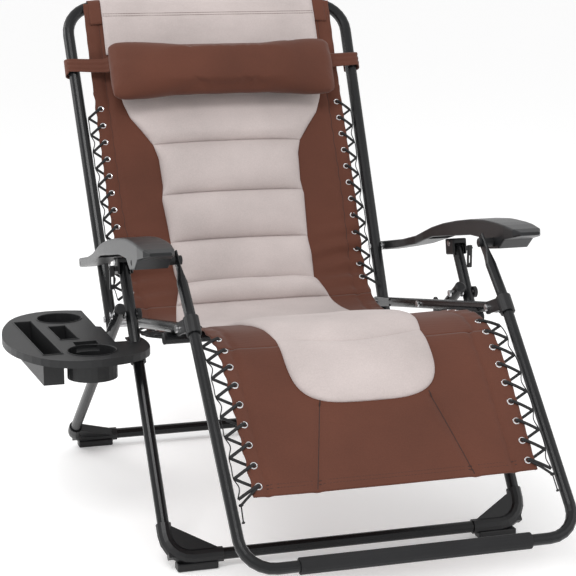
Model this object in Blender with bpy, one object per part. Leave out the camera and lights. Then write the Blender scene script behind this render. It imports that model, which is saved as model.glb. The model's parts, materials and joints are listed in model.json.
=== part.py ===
"""Zero gravity recliner: a folding steel frame with a laced fabric sling, armrests, pillow and side tray.

The sitter faces -Y, +X is the sitter's left, +Z is up. All sizes are metres.
The side view is set out with (y, z) points. The finished chair is moved so that the middle of its
footprint is at the origin.
"""

import math

import bmesh
import bpy
from mathutils import Matrix, Vector

# Base: two bent tubes that cross at the leg bolt
BASE_HALF = 0.3445
STAGGER = 0.0125
LEG_RADIUS = 0.011
TUBE_WALL = 0.0013
FLOOR_BAR_Z = 0.0231
FRONT_LEG_SLOPE = 0.7177
REAR_LEG_SLOPE = -1.3577
LEG_BOLT = (-0.025, 0.413)
BASE_BEND = 0.045

# Linkage of armrest, back, seat rail and leg rest
ARM_FRONT = (-0.239, 0.555)
ARM_LENGTH = 0.622
ARM_DROP = 0.188
BACK_SLOPE = 0.55
LINK_LENGTH = 0.1267

# Back frame
BACK_RADIUS = 0.0125
BACK_HALF_LOW = 0.3027
BACK_SPREAD = 0.0300
BACK_TOP_Z = 0.957
BACK_BEND = 0.066
BACK_TAIL = 0.020

# Leg rest frame
REST_RADIUS = 0.010
REST_HALF = 0.294
REST_KNEE = (-0.3313, 0.4762)
REST_FOOT = (-0.672, 0.128)
REST_BEND = 0.055
FOOT_SLEEVE_HALF = 0.2026
FOOT_SLEEVE_RADIUS = 0.0142

# Seat rails
RAIL_RADIUS = 0.010
RAIL_PLATE_LENGTH = 0.048
RAIL_PLATE_THICK = 0.0035
CROSS_TUBE_Y = -0.200
CROSS_TUBE_RADIUS = 0.0105
CROSS_TUBE_HALF = 0.309

# Armrests
ARM_CENTRE_X = 0.345
ARM_HALF_WIDTH = 0.031
ARM_SKIN = 0.0028
ROD_RADIUS = 0.004
ROD_LIFT = 0.019
ROD_SPAN = (0.046, 0.358)

# Sling, pad and pillow
BACK_SLING_HALF = 0.278
SEAT_SLING_HALF = 0.262
LEG_SLING_HALF = 0.260
SLING_UNDER = 0.004
CLOTH_HALF = 0.003
PAD_THICK = 0.022
BACK_PAD_HALF = 0.200
SEAT_PAD_HALF = 0.180
SEAT_PAD_THICK = (0.008, 0.012, 0.012, 0.014, 0.014, 0.014, 0.012, 0.006)
SLEEVE_HALF = 0.250
PILLOW_ALONG = 0.545
STRAP_ALONG = 0.563
PILLOW_HALF = 0.256
LACE_RADIUS = 0.0024

# Tray
TRAY_TOP = 0.370
TRAY_DEPTH = 0.014
TRAY_SKIN = 0.003

# Fasteners
BOLT_RADIUS = 0.004
BOLT_HOLE = 0.0045
GAP = 0.0003
SIDES = (("left", 1), ("right", -1))
TUBE_SIDES = 16
BEND_STEPS = 6

LATERAL = Vector((1.0, 0.0, 0.0))


def side_point(yz, x=0.0):
    """A 3D point from a side view point."""
    return Vector((x, yz[0], yz[1]))


def unit(y, z):
    """A unit direction in the side view."""
    return Vector((0.0, y, z)).normalized()


FRONT_UP = unit(FRONT_LEG_SLOPE, 1.0)
REAR_DOWN = unit(-REAR_LEG_SLOPE, -1.0)
BACK_UP = unit(BACK_SLOPE, 1.0)
BACK_FACE = unit(-1.0, BACK_SLOPE)
ARM_AFT = unit(1.0, -ARM_DROP)
ARM_UP = unit(ARM_DROP, 1.0)
P_BOLT = side_point(LEG_BOLT)
ARM_AXLE = side_point(ARM_FRONT)
ARM_PIN = ARM_AXLE + ARM_AFT * ARM_LENGTH
HIP = ARM_PIN - BACK_UP * LINK_LENGTH
KNEE = ARM_AXLE - BACK_UP * LINK_LENGTH


def line_crossing(point_a, dir_a, point_b, dir_b):
    """Where two lines of the side view meet."""
    gap = point_b - point_a
    cross = dir_a.y * dir_b.z - dir_a.z * dir_b.y
    return point_a + dir_a * ((gap.y * dir_b.z - gap.z * dir_b.y) / cross)


LOCK_PIN = line_crossing(P_BOLT, FRONT_UP, ARM_AXLE, ARM_AFT)
LINK = BACK_UP * LINK_LENGTH
SEAT_PIVOT = LOCK_PIN + ARM_AFT * LINK.dot(ARM_AFT) - ARM_UP * LINK.dot(ARM_UP)
REST_DOWN = (side_point(REST_FOOT) - side_point(REST_KNEE)).normalized()
REST_FACE = REST_DOWN.cross(LATERAL).normalized()


def front_x(sign):
    return sign * BASE_HALF + STAGGER


def rear_x(sign):
    return sign * BASE_HALF - STAGGER


def back_half(z):
    """Half the spacing of the back tubes at a height."""
    return BACK_HALF_LOW + BACK_SPREAD * (z - HIP.z)


# ---------------------------------------------------------------- materials and objects


def paint(name, colour, roughness, metallic=0.0):
    material = bpy.data.materials.new(name)
    material.use_nodes = True
    shader = material.node_tree.nodes["Principled BSDF"]
    shader.inputs["Base Color"].default_value = (*colour, 1.0)
    shader.inputs["Roughness"].default_value = roughness
    shader.inputs["Metallic"].default_value = metallic
    return material


def add_object(name, mesh_data, look):
    """An object from a bmesh, shaded smooth with sharp edges kept."""
    mesh = bpy.data.meshes.new(name)
    bmesh.ops.recalc_face_normals(mesh_data, faces=mesh_data.faces)
    mesh_data.to_mesh(mesh)
    mesh_data.free()
    colour, roughness, metallic = LOOKS[look]
    mesh.materials.append(paint(name, colour, roughness, metallic))
    mesh.shade_smooth()
    mesh.set_sharp_from_angle(angle=math.radians(40))
    thing = bpy.data.objects.new(name, mesh)
    bpy.context.scene.collection.objects.link(thing)
    return thing


LOOKS = {
    "black_paint": ((0.022, 0.023, 0.025), 0.38, 0.4),
    "black_plastic": ((0.016, 0.016, 0.017), 0.5, 0.0),
    "grey_plastic": ((0.050, 0.052, 0.055), 0.45, 0.0),
    "steel": ((0.55, 0.55, 0.56), 0.3, 1.0),
    "brown_fabric": ((0.120, 0.047, 0.030), 0.85, 0.0),
    "pad_fabric": ((0.60, 0.52, 0.50), 0.85, 0.0),
    "black_foam": ((0.02, 0.02, 0.021), 0.9, 0.0),
    "black_cord": ((0.012, 0.012, 0.012), 0.8, 0.0),
}


def carve(thing, cutter_mesh, operation="DIFFERENCE"):
    """Cuts or joins a bmesh shape with an object and keeps the result as its mesh."""
    data = bpy.data.meshes.new("cutter")
    bmesh.ops.recalc_face_normals(cutter_mesh, faces=cutter_mesh.faces)
    cutter_mesh.to_mesh(data)
    cutter_mesh.free()
    cutter = bpy.data.objects.new("cutter", data)
    bpy.context.scene.collection.objects.link(cutter)
    boolean = thing.modifiers.new("carve", "BOOLEAN")
    boolean.operation = operation
    boolean.object = cutter
    boolean.solver = "EXACT"
    evaluated = thing.evaluated_get(bpy.context.evaluated_depsgraph_get())
    result = bpy.data.meshes.new_from_object(evaluated)
    thing.modifiers.clear()
    old = thing.data
    thing.data = result
    result.name = thing.name
    bpy.data.meshes.remove(old)
    bpy.data.objects.remove(cutter)
    bpy.data.meshes.remove(data)
    result.set_sharp_from_angle(angle=math.radians(40))


# ---------------------------------------------------------------- shapes


def fillet(corners, radius, steps=BEND_STEPS):
    """A path through corner points with round bends."""
    path = [corners[0]]
    for before, corner, after in zip(corners, corners[1:], corners[2:]):
        into = (corner - before).normalized()
        out = (after - corner).normalized()
        turn = into.angle(out)
        if turn < math.radians(12):
            path.append(corner)
            continue
        back_off = radius * math.tan(turn / 2)
        centre_dir = (out - into).normalized()
        centre = corner + centre_dir * (radius / math.cos(turn / 2))
        start = corner - into * back_off - centre
        axis = into.cross(out).normalized()
        for step in range(steps + 1):
            path.append(centre + Matrix.Rotation(turn * step / steps, 3, axis) @ start)
    path.append(corners[-1])
    return path


def sweep(path, radius, wall=0.0, sides=TUBE_SIDES, first_axis=LATERAL, squeeze=None):
    """A round tube along a path, hollow with open ends where it has a wall.

    squeeze gives each path point the section's (lateral, other) scale."""
    mesh = bmesh.new()
    tangents = []
    for index in range(len(path)):
        ahead = path[min(index + 1, len(path) - 1)]
        behind = path[max(index - 1, 0)]
        tangents.append((ahead - behind).normalized())
    axis = (first_axis - tangents[0] * first_axis.dot(tangents[0])).normalized()
    rings = {"outer": [], "inner": []}
    for index, (point, tangent) in enumerate(zip(path, tangents)):
        if index:
            axis = tangents[index - 1].rotation_difference(tangent) @ axis
            axis = (axis - tangent * axis.dot(tangent)).normalized()
        other = tangent.cross(axis)
        scale_a, scale_b = squeeze[index] if squeeze else (1.0, 1.0)
        for kind, size in (("outer", radius), ("inner", radius - wall)):
            if kind == "inner" and not wall:
                continue
            ring = []
            for side in range(sides):
                angle = 2 * math.pi * side / sides
                across = axis * (math.cos(angle) * size * scale_a)
                offset = across + other * (math.sin(angle) * size * scale_b)
                ring.append(mesh.verts.new(point + offset))
            rings[kind].append(ring)
    for kind, loops in rings.items():
        for low, high in zip(loops, loops[1:]):
            for side in range(sides):
                after = (side + 1) % sides
                mesh.faces.new((low[side], low[after], high[after], high[side]))
    for end in (0, -1):
        outer = rings["outer"][end]
        if wall:
            inner = rings["inner"][end]
            for side in range(sides):
                after = (side + 1) % sides
                mesh.faces.new((outer[side], outer[after], inner[after], inner[side]))
        else:
            mesh.faces.new(outer)
    return mesh


def rod_x(x_start, x_end, centre, radius, sides=16):
    """A round bar along X at a side view point."""
    start = Vector((x_start, centre.y, centre.z))
    end = Vector((x_end, centre.y, centre.z))
    return sweep([start, end], radius, sides=sides, first_axis=Vector((0.0, 0.0, 1.0)))


def turned_x(centre, profile, sides=16):
    """A turned piece on an axis along X: profile is a list of (x, radius)."""
    mesh = bmesh.new()
    loops = []
    for x, radius in profile:
        ring = []
        for side in range(sides):
            angle = 2 * math.pi * side / sides
            y = centre.y + radius * math.cos(angle)
            z = centre.z + radius * math.sin(angle)
            ring.append(mesh.verts.new((x, y, z)))
        loops.append(ring)
    for low, high in zip(loops, loops[1:]):
        for side in range(sides):
            after = (side + 1) % sides
            mesh.faces.new((low[side], low[after], high[after], high[side]))
    mesh.faces.new(loops[0])
    mesh.faces.new(loops[-1])
    return mesh


def plate(outline, x_start, x_end):
    """A flat plate from an outline of side view points, between two X values."""
    mesh = bmesh.new()
    near = [mesh.verts.new((x_start, point.y, point.z)) for point in outline]
    far = [mesh.verts.new((x_end, point.y, point.z)) for point in outline]
    mesh.faces.new(near)
    mesh.faces.new(far)
    for index in range(len(outline)):
        after = (index + 1) % len(outline)
        mesh.faces.new((near[index], near[after], far[after], far[index]))
    return mesh


def arc(centre, radius, axis_a, axis_b, start, end, steps):
    """Points on an arc in the plane of two axes, angles in degrees."""
    points = []
    for step in range(steps + 1):
        angle = math.radians(start + (end - start) * step / steps)
        points.append(centre + axis_a * (radius * math.cos(angle)) + axis_b * (radius * math.sin(angle)))
    return points


def box(centre, axes, halves):
    """A block with its own axes."""
    mesh = bmesh.new()
    corners = {}
    for i in (-1, 1):
        for j in (-1, 1):
            for k in (-1, 1):
                offset = axes[0] * (halves[0] * i) + axes[1] * (halves[1] * j) + axes[2] * (halves[2] * k)
                corners[i, j, k] = mesh.verts.new(centre + offset)
    for fixed in range(3):
        for value in (-1, 1):
            loop = []
            for pair in ((-1, -1), (1, -1), (1, 1), (-1, 1)):
                key = list(pair)
                key.insert(fixed, value)
                loop.append(corners[tuple(key)])
            mesh.faces.new(loop)
    return mesh


def rounded_block(centre, axes, halves, bevel, segments=2):
    """A block with bevelled edges."""
    mesh = box(centre, axes, halves)
    bmesh.ops.recalc_face_normals(mesh, faces=mesh.faces)
    edges = list(mesh.edges)
    bmesh.ops.bevel(mesh, geom=edges, offset=bevel, segments=segments, profile=0.5, affect="EDGES")
    return mesh


def loft(sections):
    """A closed skin through rings of points."""
    mesh = bmesh.new()
    rings = [[mesh.verts.new(point) for point in ring] for ring in sections]
    count = len(sections[0])
    for low, high in zip(rings, rings[1:]):
        for index in range(count):
            after = (index + 1) % count
            mesh.faces.new((low[index], low[after], high[after], high[index]))
    mesh.faces.new(rings[0])
    mesh.faces.new(rings[-1])
    return mesh


def panel_ring(point, normal, x_half, above, below):
    """A section across a soft panel with rounded side edges."""
    high = point + normal * above
    low = point - normal * below
    middle = (high + low) / 2
    edge = (above + below) * 0.5
    ring = []
    around = ((-1, low), (-1, middle), (-1, high), (0, high), (1, high), (1, middle), (1, low), (0, low))
    for x, place in around:
        inset = 0.0 if place is middle else edge
        ring.append(place + LATERAL * (x * (x_half - inset)))
    return ring


def slab(path, x_half, above, below, normals):
    """A soft panel that follows a side view path."""
    return loft([panel_ring(point, normal, x_half, above, below) for point, normal in zip(path, normals)])


def hole(thing, centre, x_start, x_end, radius=BOLT_HOLE):
    """A round hole along X."""
    carve(thing, rod_x(x_start, x_end, centre, radius, sides=12))


# ---------------------------------------------------------------- base


def floor_point(slope):
    """Where a leg's line meets the height of its floor bar."""
    return side_point((LEG_BOLT[0] + slope * (FLOOR_BAR_Z - LEG_BOLT[1]), FLOOR_BAR_Z))


def base_path(top, slope, x_of):
    bottom = floor_point(slope)
    corners = [top + LATERAL * x_of(-1), bottom + LATERAL * x_of(-1)]
    corners += [bottom + LATERAL * x_of(1), top + LATERAL * x_of(1)]
    return fillet(corners, BASE_BEND)


def make_front_legs():
    top = LOCK_PIN + FRONT_UP * 0.005
    path = base_path(top, FRONT_LEG_SLOPE, front_x)
    frame = add_object("front_leg_frame", sweep(path, LEG_RADIUS, TUBE_WALL), "black_paint")
    for _, sign in SIDES:
        x = front_x(sign)
        hole(frame, P_BOLT, x - 0.02, x + 0.02)
        hole(frame, LOCK_PIN, x - 0.02, x + 0.02, 0.0038)
    return frame


def make_rear_legs():
    top = P_BOLT - REAR_DOWN * 0.026
    path = base_path(top, REAR_LEG_SLOPE, rear_x)
    frame = add_object("rear_leg_frame", sweep(path, LEG_RADIUS, TUBE_WALL), "black_paint")
    along = (SEAT_PIVOT - P_BOLT).dot(REAR_DOWN)
    foot = P_BOLT + REAR_DOWN * along
    outward = (SEAT_PIVOT - foot).normalized()
    for _, sign in SIDES:
        x = rear_x(sign)
        inner = x - sign * (LEG_RADIUS + 0.0005)
        outline = arc(SEAT_PIVOT, 0.012, REAR_DOWN, outward, 0, 180, 8)
        outline += [foot - REAR_DOWN * 0.026, foot + REAR_DOWN * 0.026]
        carve(frame, plate(outline, inner, inner + sign * 0.0038), "UNION")
        hole(frame, P_BOLT, x - 0.02, x + 0.02)
        hole(frame, SEAT_PIVOT, inner - 0.01, inner + 0.01)
    return frame


def make_leg_plugs():
    """Domed plugs in the open top ends of the rear legs."""
    end = P_BOLT - REAR_DOWN * 0.026
    for name, sign in SIDES:
        centre = end + LATERAL * rear_x(sign)
        sizes = ((0.012, 0.0090), (-GAP, 0.0090), (-GAP, 0.0114), (-0.0035, 0.0114), (-0.0060, 0.0080))
        sections = []
        up = REAR_DOWN.cross(LATERAL)
        for distance, radius in sizes:
            sections.append(arc(centre + REAR_DOWN * distance, radius, LATERAL, up, 0, 337.5, 15))
        add_object("rear_leg_plug_" + name, loft(sections), "black_plastic")


def make_boot(name, x_of, sign, slope):
    """A corner boot: a sleeve round the bend, squared off on its outer side, and a foot pad."""
    bottom = floor_point(slope)
    x = x_of(sign)
    up = unit(slope, 1.0)
    corner = bottom + LATERAL * x
    leg_end = corner + up * 0.066
    bar_end = corner - LATERAL * (sign * 0.100)
    outer = fillet([leg_end, corner, bar_end], BASE_BEND, 5)
    boot = add_object(name, sweep(outer, LEG_RADIUS + 0.0032, sides=12), "black_plastic")
    facing = up.cross(LATERAL).normalized()
    aside = LATERAL * (sign * 0.0118)
    web = [corner - LATERAL * (sign * 0.094) - up * 0.0118, corner + aside * 0.75 - up * 0.0118]
    web += [corner + aside - up * 0.0080, corner + up * 0.060 + aside] + outer
    mesh = bmesh.new()
    near = [mesh.verts.new((x_start, point.y, point.z)) for point in outline]
    far = [mesh.verts.new((x_end, point.y, point.z)) for point in outline]
    mesh.faces.new(near)
    mesh.faces.new(far)
    for index in range(len(outline)):
        after = (index + 1) % len(outline)
        mesh.faces.new((near[index], near[after], far[after], far[index]))
    return mesh


def arc(centre, radius, axis_a, axis_b, start, end, steps):
    """Points on an arc in the plane of two axes, angles in degrees."""
    points = []
    for step in range(steps + 1):
        angle = math.radians(start + (end - start) * step / steps)
        points.append(centre + axis_a * (radius * math.cos(angle)) + axis_b * (radius * math.sin(angle)))
    return points


def box(centre, axes, halves):
    """A block with its own axes."""
    mesh = bmesh.new()
    corners = {}
    for i in (-1, 1):
        for j in (-1, 1):
            for k in (-1, 1):
                offset = axes[0] * (halves[0] * i) + axes[1] * (halves[1] * j) + axes[2] * (halves[2] * k)
                corners[i, j, k] = mesh.verts.new(centre + offset)
    for fixed in range(3):
        for value in (-1, 1):
            loop = []
            for pair in ((-1, -1), (1, -1), (1, 1), (-1, 1)):
                key = list(pair)
                key.insert(fixed, value)
                loop.append(corners[tuple(key)])
            mesh.faces.new(loop)
    return mesh


def rounded_block(centre, axes, halves, bevel, segments=2):
    """A block with bevelled edges."""
    mesh = box(centre, axes, halves)
    bmesh.ops.recalc_face_normals(mesh, faces=mesh.faces)
    edges = list(mesh.edges)
    bmesh.ops.bevel(mesh, geom=edges, offset=bevel, segments=segments, profile=0.5, affect="EDGES")
    return mesh


def loft(sections):
    """A closed skin through rings of points."""
    mesh = bmesh.new()
    rings = [[mesh.verts.new(point) for point in ring] for ring in sections]
    count = len(sections[0])
    for low, high in zip(rings, rings[1:]):
        for index in range(count):
            after = (index + 1) % count
            mesh.faces.new((low[index], low[after], high[after], high[index]))
    mesh.faces.new(rings[0])
    mesh.faces.new(rings[-1])
    return mesh


def panel_ring(point, normal, x_half, above, below):
    """A section across a soft panel with rounded side edges."""
    high = point + normal * above
    low = point - normal * below
    middle = (high + low) / 2
    edge = (above + below) * 0.5
    ring = []
    around = ((-1, low), (-1, middle), (-1, high), (0, high), (1, high), (1, middle), (1, low), (0, low))
    for x, place in around:
        inset = 0.0 if place is middle else edge
        ring.append(place + LATERAL * (x * (x_half - inset)))
    return ring


def slab(path, x_half, above, below, normals):
    """A soft panel that follows a side view path."""
    return loft([panel_ring(point, normal, x_half, above, below) for point, normal in zip(path, normals)])


def hole(thing, centre, x_start, x_end, radius=BOLT_HOLE):
    """A round hole along X."""
    carve(thing, rod_x(x_start, x_end, centre, radius, sides=12))


# ---------------------------------------------------------------- base


def floor_point(slope):
    """Where a leg's line meets the height of its floor bar."""
    return side_point((LEG_BOLT[0] + slope * (FLOOR_BAR_Z - LEG_BOLT[1]), FLOOR_BAR_Z))


def base_path(top, slope, x_of):
    bottom = floor_point(slope)
    corners = [top + LATERAL * x_of(-1), bottom + LATERAL * x_of(-1)]
    corners += [bottom + LATERAL * x_of(1), top + LATERAL * x_of(1)]
    return fillet(corners, BASE_BEND)


def make_front_legs():
    top = LOCK_PIN + FRONT_UP * 0.005
    path = base_path(top, FRONT_LEG_SLOPE, front_x)
    frame = add_object("front_leg_frame", sweep(path, LEG_RADIUS, TUBE_WALL), "black_paint")
    for _, sign in SIDES:
        x = front_x(sign)
        hole(frame, P_BOLT, x - 0.02, x + 0.02)
        hole(frame, LOCK_PIN, x - 0.02, x + 0.02, 0.0038)
    return frame


def make_rear_legs():
    top = P_BOLT - REAR_DOWN * 0.026
    path = base_path(top, REAR_LEG_SLOPE, rear_x)
    frame = add_object("rear_leg_frame", sweep(path, LEG_RADIUS, TUBE_WALL), "black_paint")
    along = (SEAT_PIVOT - P_BOLT).dot(REAR_DOWN)
    foot = P_BOLT + REAR_DOWN * along
    outward = (SEAT_PIVOT - foot).normalized()
    for _, sign in SIDES:
        x = rear_x(sign)
        inner = x - sign * (LEG_RADIUS + 0.0005)
        outline = arc(SEAT_PIVOT, 0.012, REAR_DOWN, outward, 0, 180, 8)
        outline += [foot - REAR_DOWN * 0.026, foot + REAR_DOWN * 0.026]
        carve(frame, plate(outline, inner, inner + sign * 0.0038), "UNION")
        hole(frame, P_BOLT, x - 0.02, x + 0.02)
        hole(frame, SEAT_PIVOT, inner - 0.01, inner + 0.01)
    return frame


def make_leg_plugs():
    """Domed plugs in the open top ends of the rear legs."""
    end = P_BOLT - REAR_DOWN * 0.026
    for name, sign in SIDES:
        centre = end + LATERAL * rear_x(sign)
        sizes = ((0.012, 0.0090), (-GAP, 0.0090), (-GAP, 0.0114), (-0.0035, 0.0114), (-0.0060, 0.0080))
        sections = []
        up = REAR_DOWN.cross(LATERAL)
        for distance, radius in sizes:
            sections.append(arc(centre + REAR_DOWN * distance, radius, LATERAL, up, 0, 337.5, 15))
        add_object("rear_leg_plug_" + name, loft(sections), "black_plastic")


def make_boot(name, x_of, sign, slope):
    """A corner boot: a sleeve round the bend, squared off on its outer side, and a foot pad."""
    bottom = floor_point(slope)
    x = x_of(sign)
    up = unit(slope, 1.0)
    corner = bottom + LATERAL * x
    leg_end = corner + up * 0.066
    bar_end = corner - LATERAL * (sign * 0.100)
    outer = fillet([leg_end, corner, bar_end], BASE_BEND, 5)
    boot = add_object(name, sweep(outer, LEG_RADIUS + 0.0032, sides=12), "black_plastic")
    facing = up.cross(LATERAL).normalized()
    web = [corner + up * 0.060 - LATERAL * (sign * 0.010), corner - LATERAL * (sign * 0.094) + up * 0.010]
    web += [corner - LATERAL * (sign * 0.094), corner, corner + up * 0.060]
    mesh = bmesh.new()
    near = [mesh.verts.new(point + facing * 0.0085) for point in web]
    far = [mesh.verts.new(point - facing * 0.0085) for point in web]
    mesh.faces.new(near)
    mesh.faces.new(far)
    for index in range(len(web)):
        after = (index + 1) % len(web)
        mesh.faces.new((near[index], near[after], far[after], far[index]))
    carve(boot, mesh, "UNION")
    pad_centre = Vector((x - sign * 0.052, bottom.y, 0.0075))
    axes = (LATERAL, Vector((0.0, 1.0, 0.0)), Vector((0.0, 0.0, 1.0)))
    carve(boot, rounded_block(pad_centre, axes, (0.038, 0.013, 0.0075), 0.003), "UNION")
    longer = fillet([corner + up * 0.09, corner, corner - LATERAL * (sign * 0.13)], BASE_BEND)
    carve(boot, sweep(longer, LEG_RADIUS + GAP))


def make_leg_bolts():
    for name, sign in SIDES:
        low = min(front_x(sign), rear_x(sign)) - LEG_RADIUS
        high = max(front_x(sign), rear_x(sign)) + LEG_RADIUS
        profile = [(low - 0.0055, 0.0040), (low - 0.0045, 0.0068), (low - GAP, 0.0068)]
        profile += [(low - GAP, BOLT_RADIUS), (high + 0.005, BOLT_RADIUS)]
        add_object("leg_bolt_" + name, turned_x(P_BOLT, profile), "steel")
        cap = turned_x(P_BOLT, [(high + GAP, 0.0115), (high + 0.0070, 0.0115), (high + 0.0085, 0.0090)])
        disk = add_object("leg_bolt_cap_" + name, cap, "black_plastic")
        hole(disk, P_BOLT, high - 0.002, high + 0.0056)
        middle = (low + high) / 2
        washer = turned_x(P_BOLT, [(middle - 0.0012, 0.0085), (middle + 0.0012, 0.0085)])
        ring = add_object("leg_washer_" + name, washer, "steel")
        hole(ring, P_BOLT, middle - 0.004, middle + 0.004)


# ---------------------------------------------------------------- seat frame


def make_seat_rails():
    for name, sign in SIDES:
        x = sign * REST_HALF
        front = KNEE - ARM_AFT * 0.010 + LATERAL * x
        rear = HIP - ARM_AFT * RAIL_PLATE_LENGTH + LATERAL * x
        rail = add_object("seat_rail_" + name, sweep([front, rear], RAIL_RADIUS, TUBE_WALL), "black_paint")
        inner = sign * (REST_HALF - RAIL_RADIUS + 0.0002)
        outline = [HIP - ARM_AFT * 0.085 - ARM_UP * 0.0085]
        outline += arc(HIP, 0.011, ARM_UP, ARM_AFT, 180, 0, 8)
        outline += [HIP - ARM_AFT * 0.085 + ARM_UP * 0.0085]
        carve(rail, plate(outline, inner, inner + sign * RAIL_PLATE_THICK), "UNION")
        for centre in (KNEE, SEAT_PIVOT, HIP):
            hole(rail, centre, x - sign * 0.03, x + sign * 0.03)


def make_cross_tube():
    below = RAIL_RADIUS + CROSS_TUBE_RADIUS + GAP
    rail_point = KNEE + ARM_AFT * ((CROSS_TUBE_Y - KNEE.y) / ARM_AFT.y)
    centre = rail_point - ARM_UP * below
    ends = [centre - LATERAL * CROSS_TUBE_HALF, centre + LATERAL * CROSS_TUBE_HALF]
    tube = sweep(ends, CROSS_TUBE_RADIUS, TUBE_WALL, first_axis=Vector((0.0, 0.0, 1.0)))
    add_object("seat_cross_tube", tube, "black_paint")
    for name, sign in SIDES:
        x = sign * CROSS_TUBE_HALF
        profile = [(x - sign * 0.012, 0.0088), (x + sign * GAP, 0.0088), (x + sign * GAP, 0.0108)]
        profile += [(x + sign * 0.0028, 0.0108), (x + sign * 0.0040, 0.0085)]
        add_object("cross_tube_plug_" + name, turned_x(centre, profile), "black_plastic")


def make_seat_pivot_bolts():
    for name, sign in SIDES:
        rail_in = REST_HALF - RAIL_RADIUS
        rail_out = REST_HALF + RAIL_RADIUS
        bracket = abs(rear_x(sign)) - LEG_RADIUS - 0.0005
        profile = [(rail_in - 0.0052, 0.0045), (rail_in - 0.0042, 0.0068), (rail_in - GAP, 0.0068)]
        profile += [(rail_in - GAP, BOLT_RADIUS), (rail_out + GAP, BOLT_RADIUS), (rail_out + GAP, 0.0065)]
        profile += [(bracket - GAP, 0.0065), (bracket - GAP, BOLT_RADIUS)]
        profile += [(bracket + 0.0038 + GAP, BOLT_RADIUS), (bracket + 0.0038 + GAP, 0.0062)]
        profile += [(bracket + 0.0085, 0.0062)]
        bolt = turned_x(SEAT_PIVOT, [(sign * x, r) for x, r in profile])
        add_object("seat_pivot_bolt_" + name, bolt, "steel")


def make_hip_bolts():
    for name, sign in SIDES:
        rail_in = REST_HALF - RAIL_RADIUS + 0.0002
        tube_out = back_half(HIP.z) + BACK_RADIUS
        profile = [(rail_in - 0.0050, 0.0045), (rail_in - 0.0042, 0.0068), (rail_in - GAP, 0.0068)]
        profile += [(rail_in - GAP, BOLT_RADIUS), (tube_out + GAP, BOLT_RADIUS), (tube_out + GAP, 0.0065)]
        profile += [(tube_out + 0.0038, 0.0065)]
        add_object("hip_bolt_" + name, turned_x(HIP, [(sign * x, r) for x, r in profile]), "steel")


# ---------------------------------------------------------------- back


def make_back_frame():
    low = HIP - BACK_UP * BACK_TAIL
    top = HIP + BACK_UP * ((BACK_TOP_Z - HIP.z) / BACK_UP.z)
    corners = [low - LATERAL * back_half(low.z), top - LATERAL * back_half(top.z)]
    corners += [top + LATERAL * back_half(top.z), low + LATERAL * back_half(low.z)]
    path = fillet(corners, BACK_BEND, 8)
    frame = add_object("back_frame", sweep(path, BACK_RADIUS, TUBE_WALL), "black_paint")
    for _, sign in SIDES:
        for centre in (HIP, ARM_PIN):
            x = sign * back_half(centre.z)
            hole(frame, centre, x - 0.022, x + 0.022)


def make_back_plugs():
    end = HIP - BACK_UP * BACK_TAIL
    side_lean = Vector((BACK_SPREAD * BACK_UP.z, 0.0, 0.0))
    for name, sign in SIDES:
        centre = end + LATERAL * (sign * back_half(end.z))
        along = (BACK_UP + side_lean * sign).normalized()
        across = along.cross(LATERAL).normalized()
        lateral = across.cross(along)
        sizes = ((0.009, 0.0105), (-GAP, 0.0105), (-GAP, 0.0128), (-0.0030, 0.0128), (-0.0055, 0.0095))
        sections = [arc(centre + along * d, r, lateral, across, 0, 337.5, 15) for d, r in sizes]
        add_object("back_plug_" + name, loft(sections), "black_plastic")


# ---------------------------------------------------------------- leg rest


def make_leg_rest_frame():
    top = ARM_AXLE
    into = (side_point(REST_KNEE) - top).normalized()
    start = top - into * 0.013
    stations = [start, top + into * 0.020, top + into * 0.052, side_point(REST_KNEE)]
    scales = [(0.35, 1.32), (0.35, 1.32), (1.0, 1.0), (1.0, 1.0)]
    foot = side_point(REST_FOOT)
    corner = foot - LATERAL * REST_HALF
    bend = fillet([corner - REST_DOWN * 0.2, corner, foot], REST_BEND, 6)
    half = [point - LATERAL * REST_HALF for point in stations] + bend[1:-1]
    scales += [(1.0, 1.0)] * (len(bend) - 2)
    mirrored = [Vector((-point.x, point.y, point.z)) for point in reversed(half)]
    path = half + mirrored
    squeeze = scales + list(reversed(scales))
    tube = sweep(path, REST_RADIUS, TUBE_WALL, squeeze=squeeze)
    frame = add_object("leg_rest_frame", tube, "black_paint")
    for _, sign in SIDES:
        hole(frame, ARM_AXLE, sign * (REST_HALF - 0.02), sign * (REST_HALF + 0.02), 0.0053)


def make_foot_sleeve():
    centre = side_point(REST_FOOT)
    ends = [centre - LATERAL * FOOT_SLEEVE_HALF, centre + LATERAL * FOOT_SLEEVE_HALF]
    up = Vector((0.0, 0.0, 1.0))
    wall = FOOT_SLEEVE_RADIUS - REST_RADIUS - GAP
    add_object("foot_sleeve", sweep(ends, FOOT_SLEEVE_RADIUS, wall, first_axis=up), "black_foam")


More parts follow.
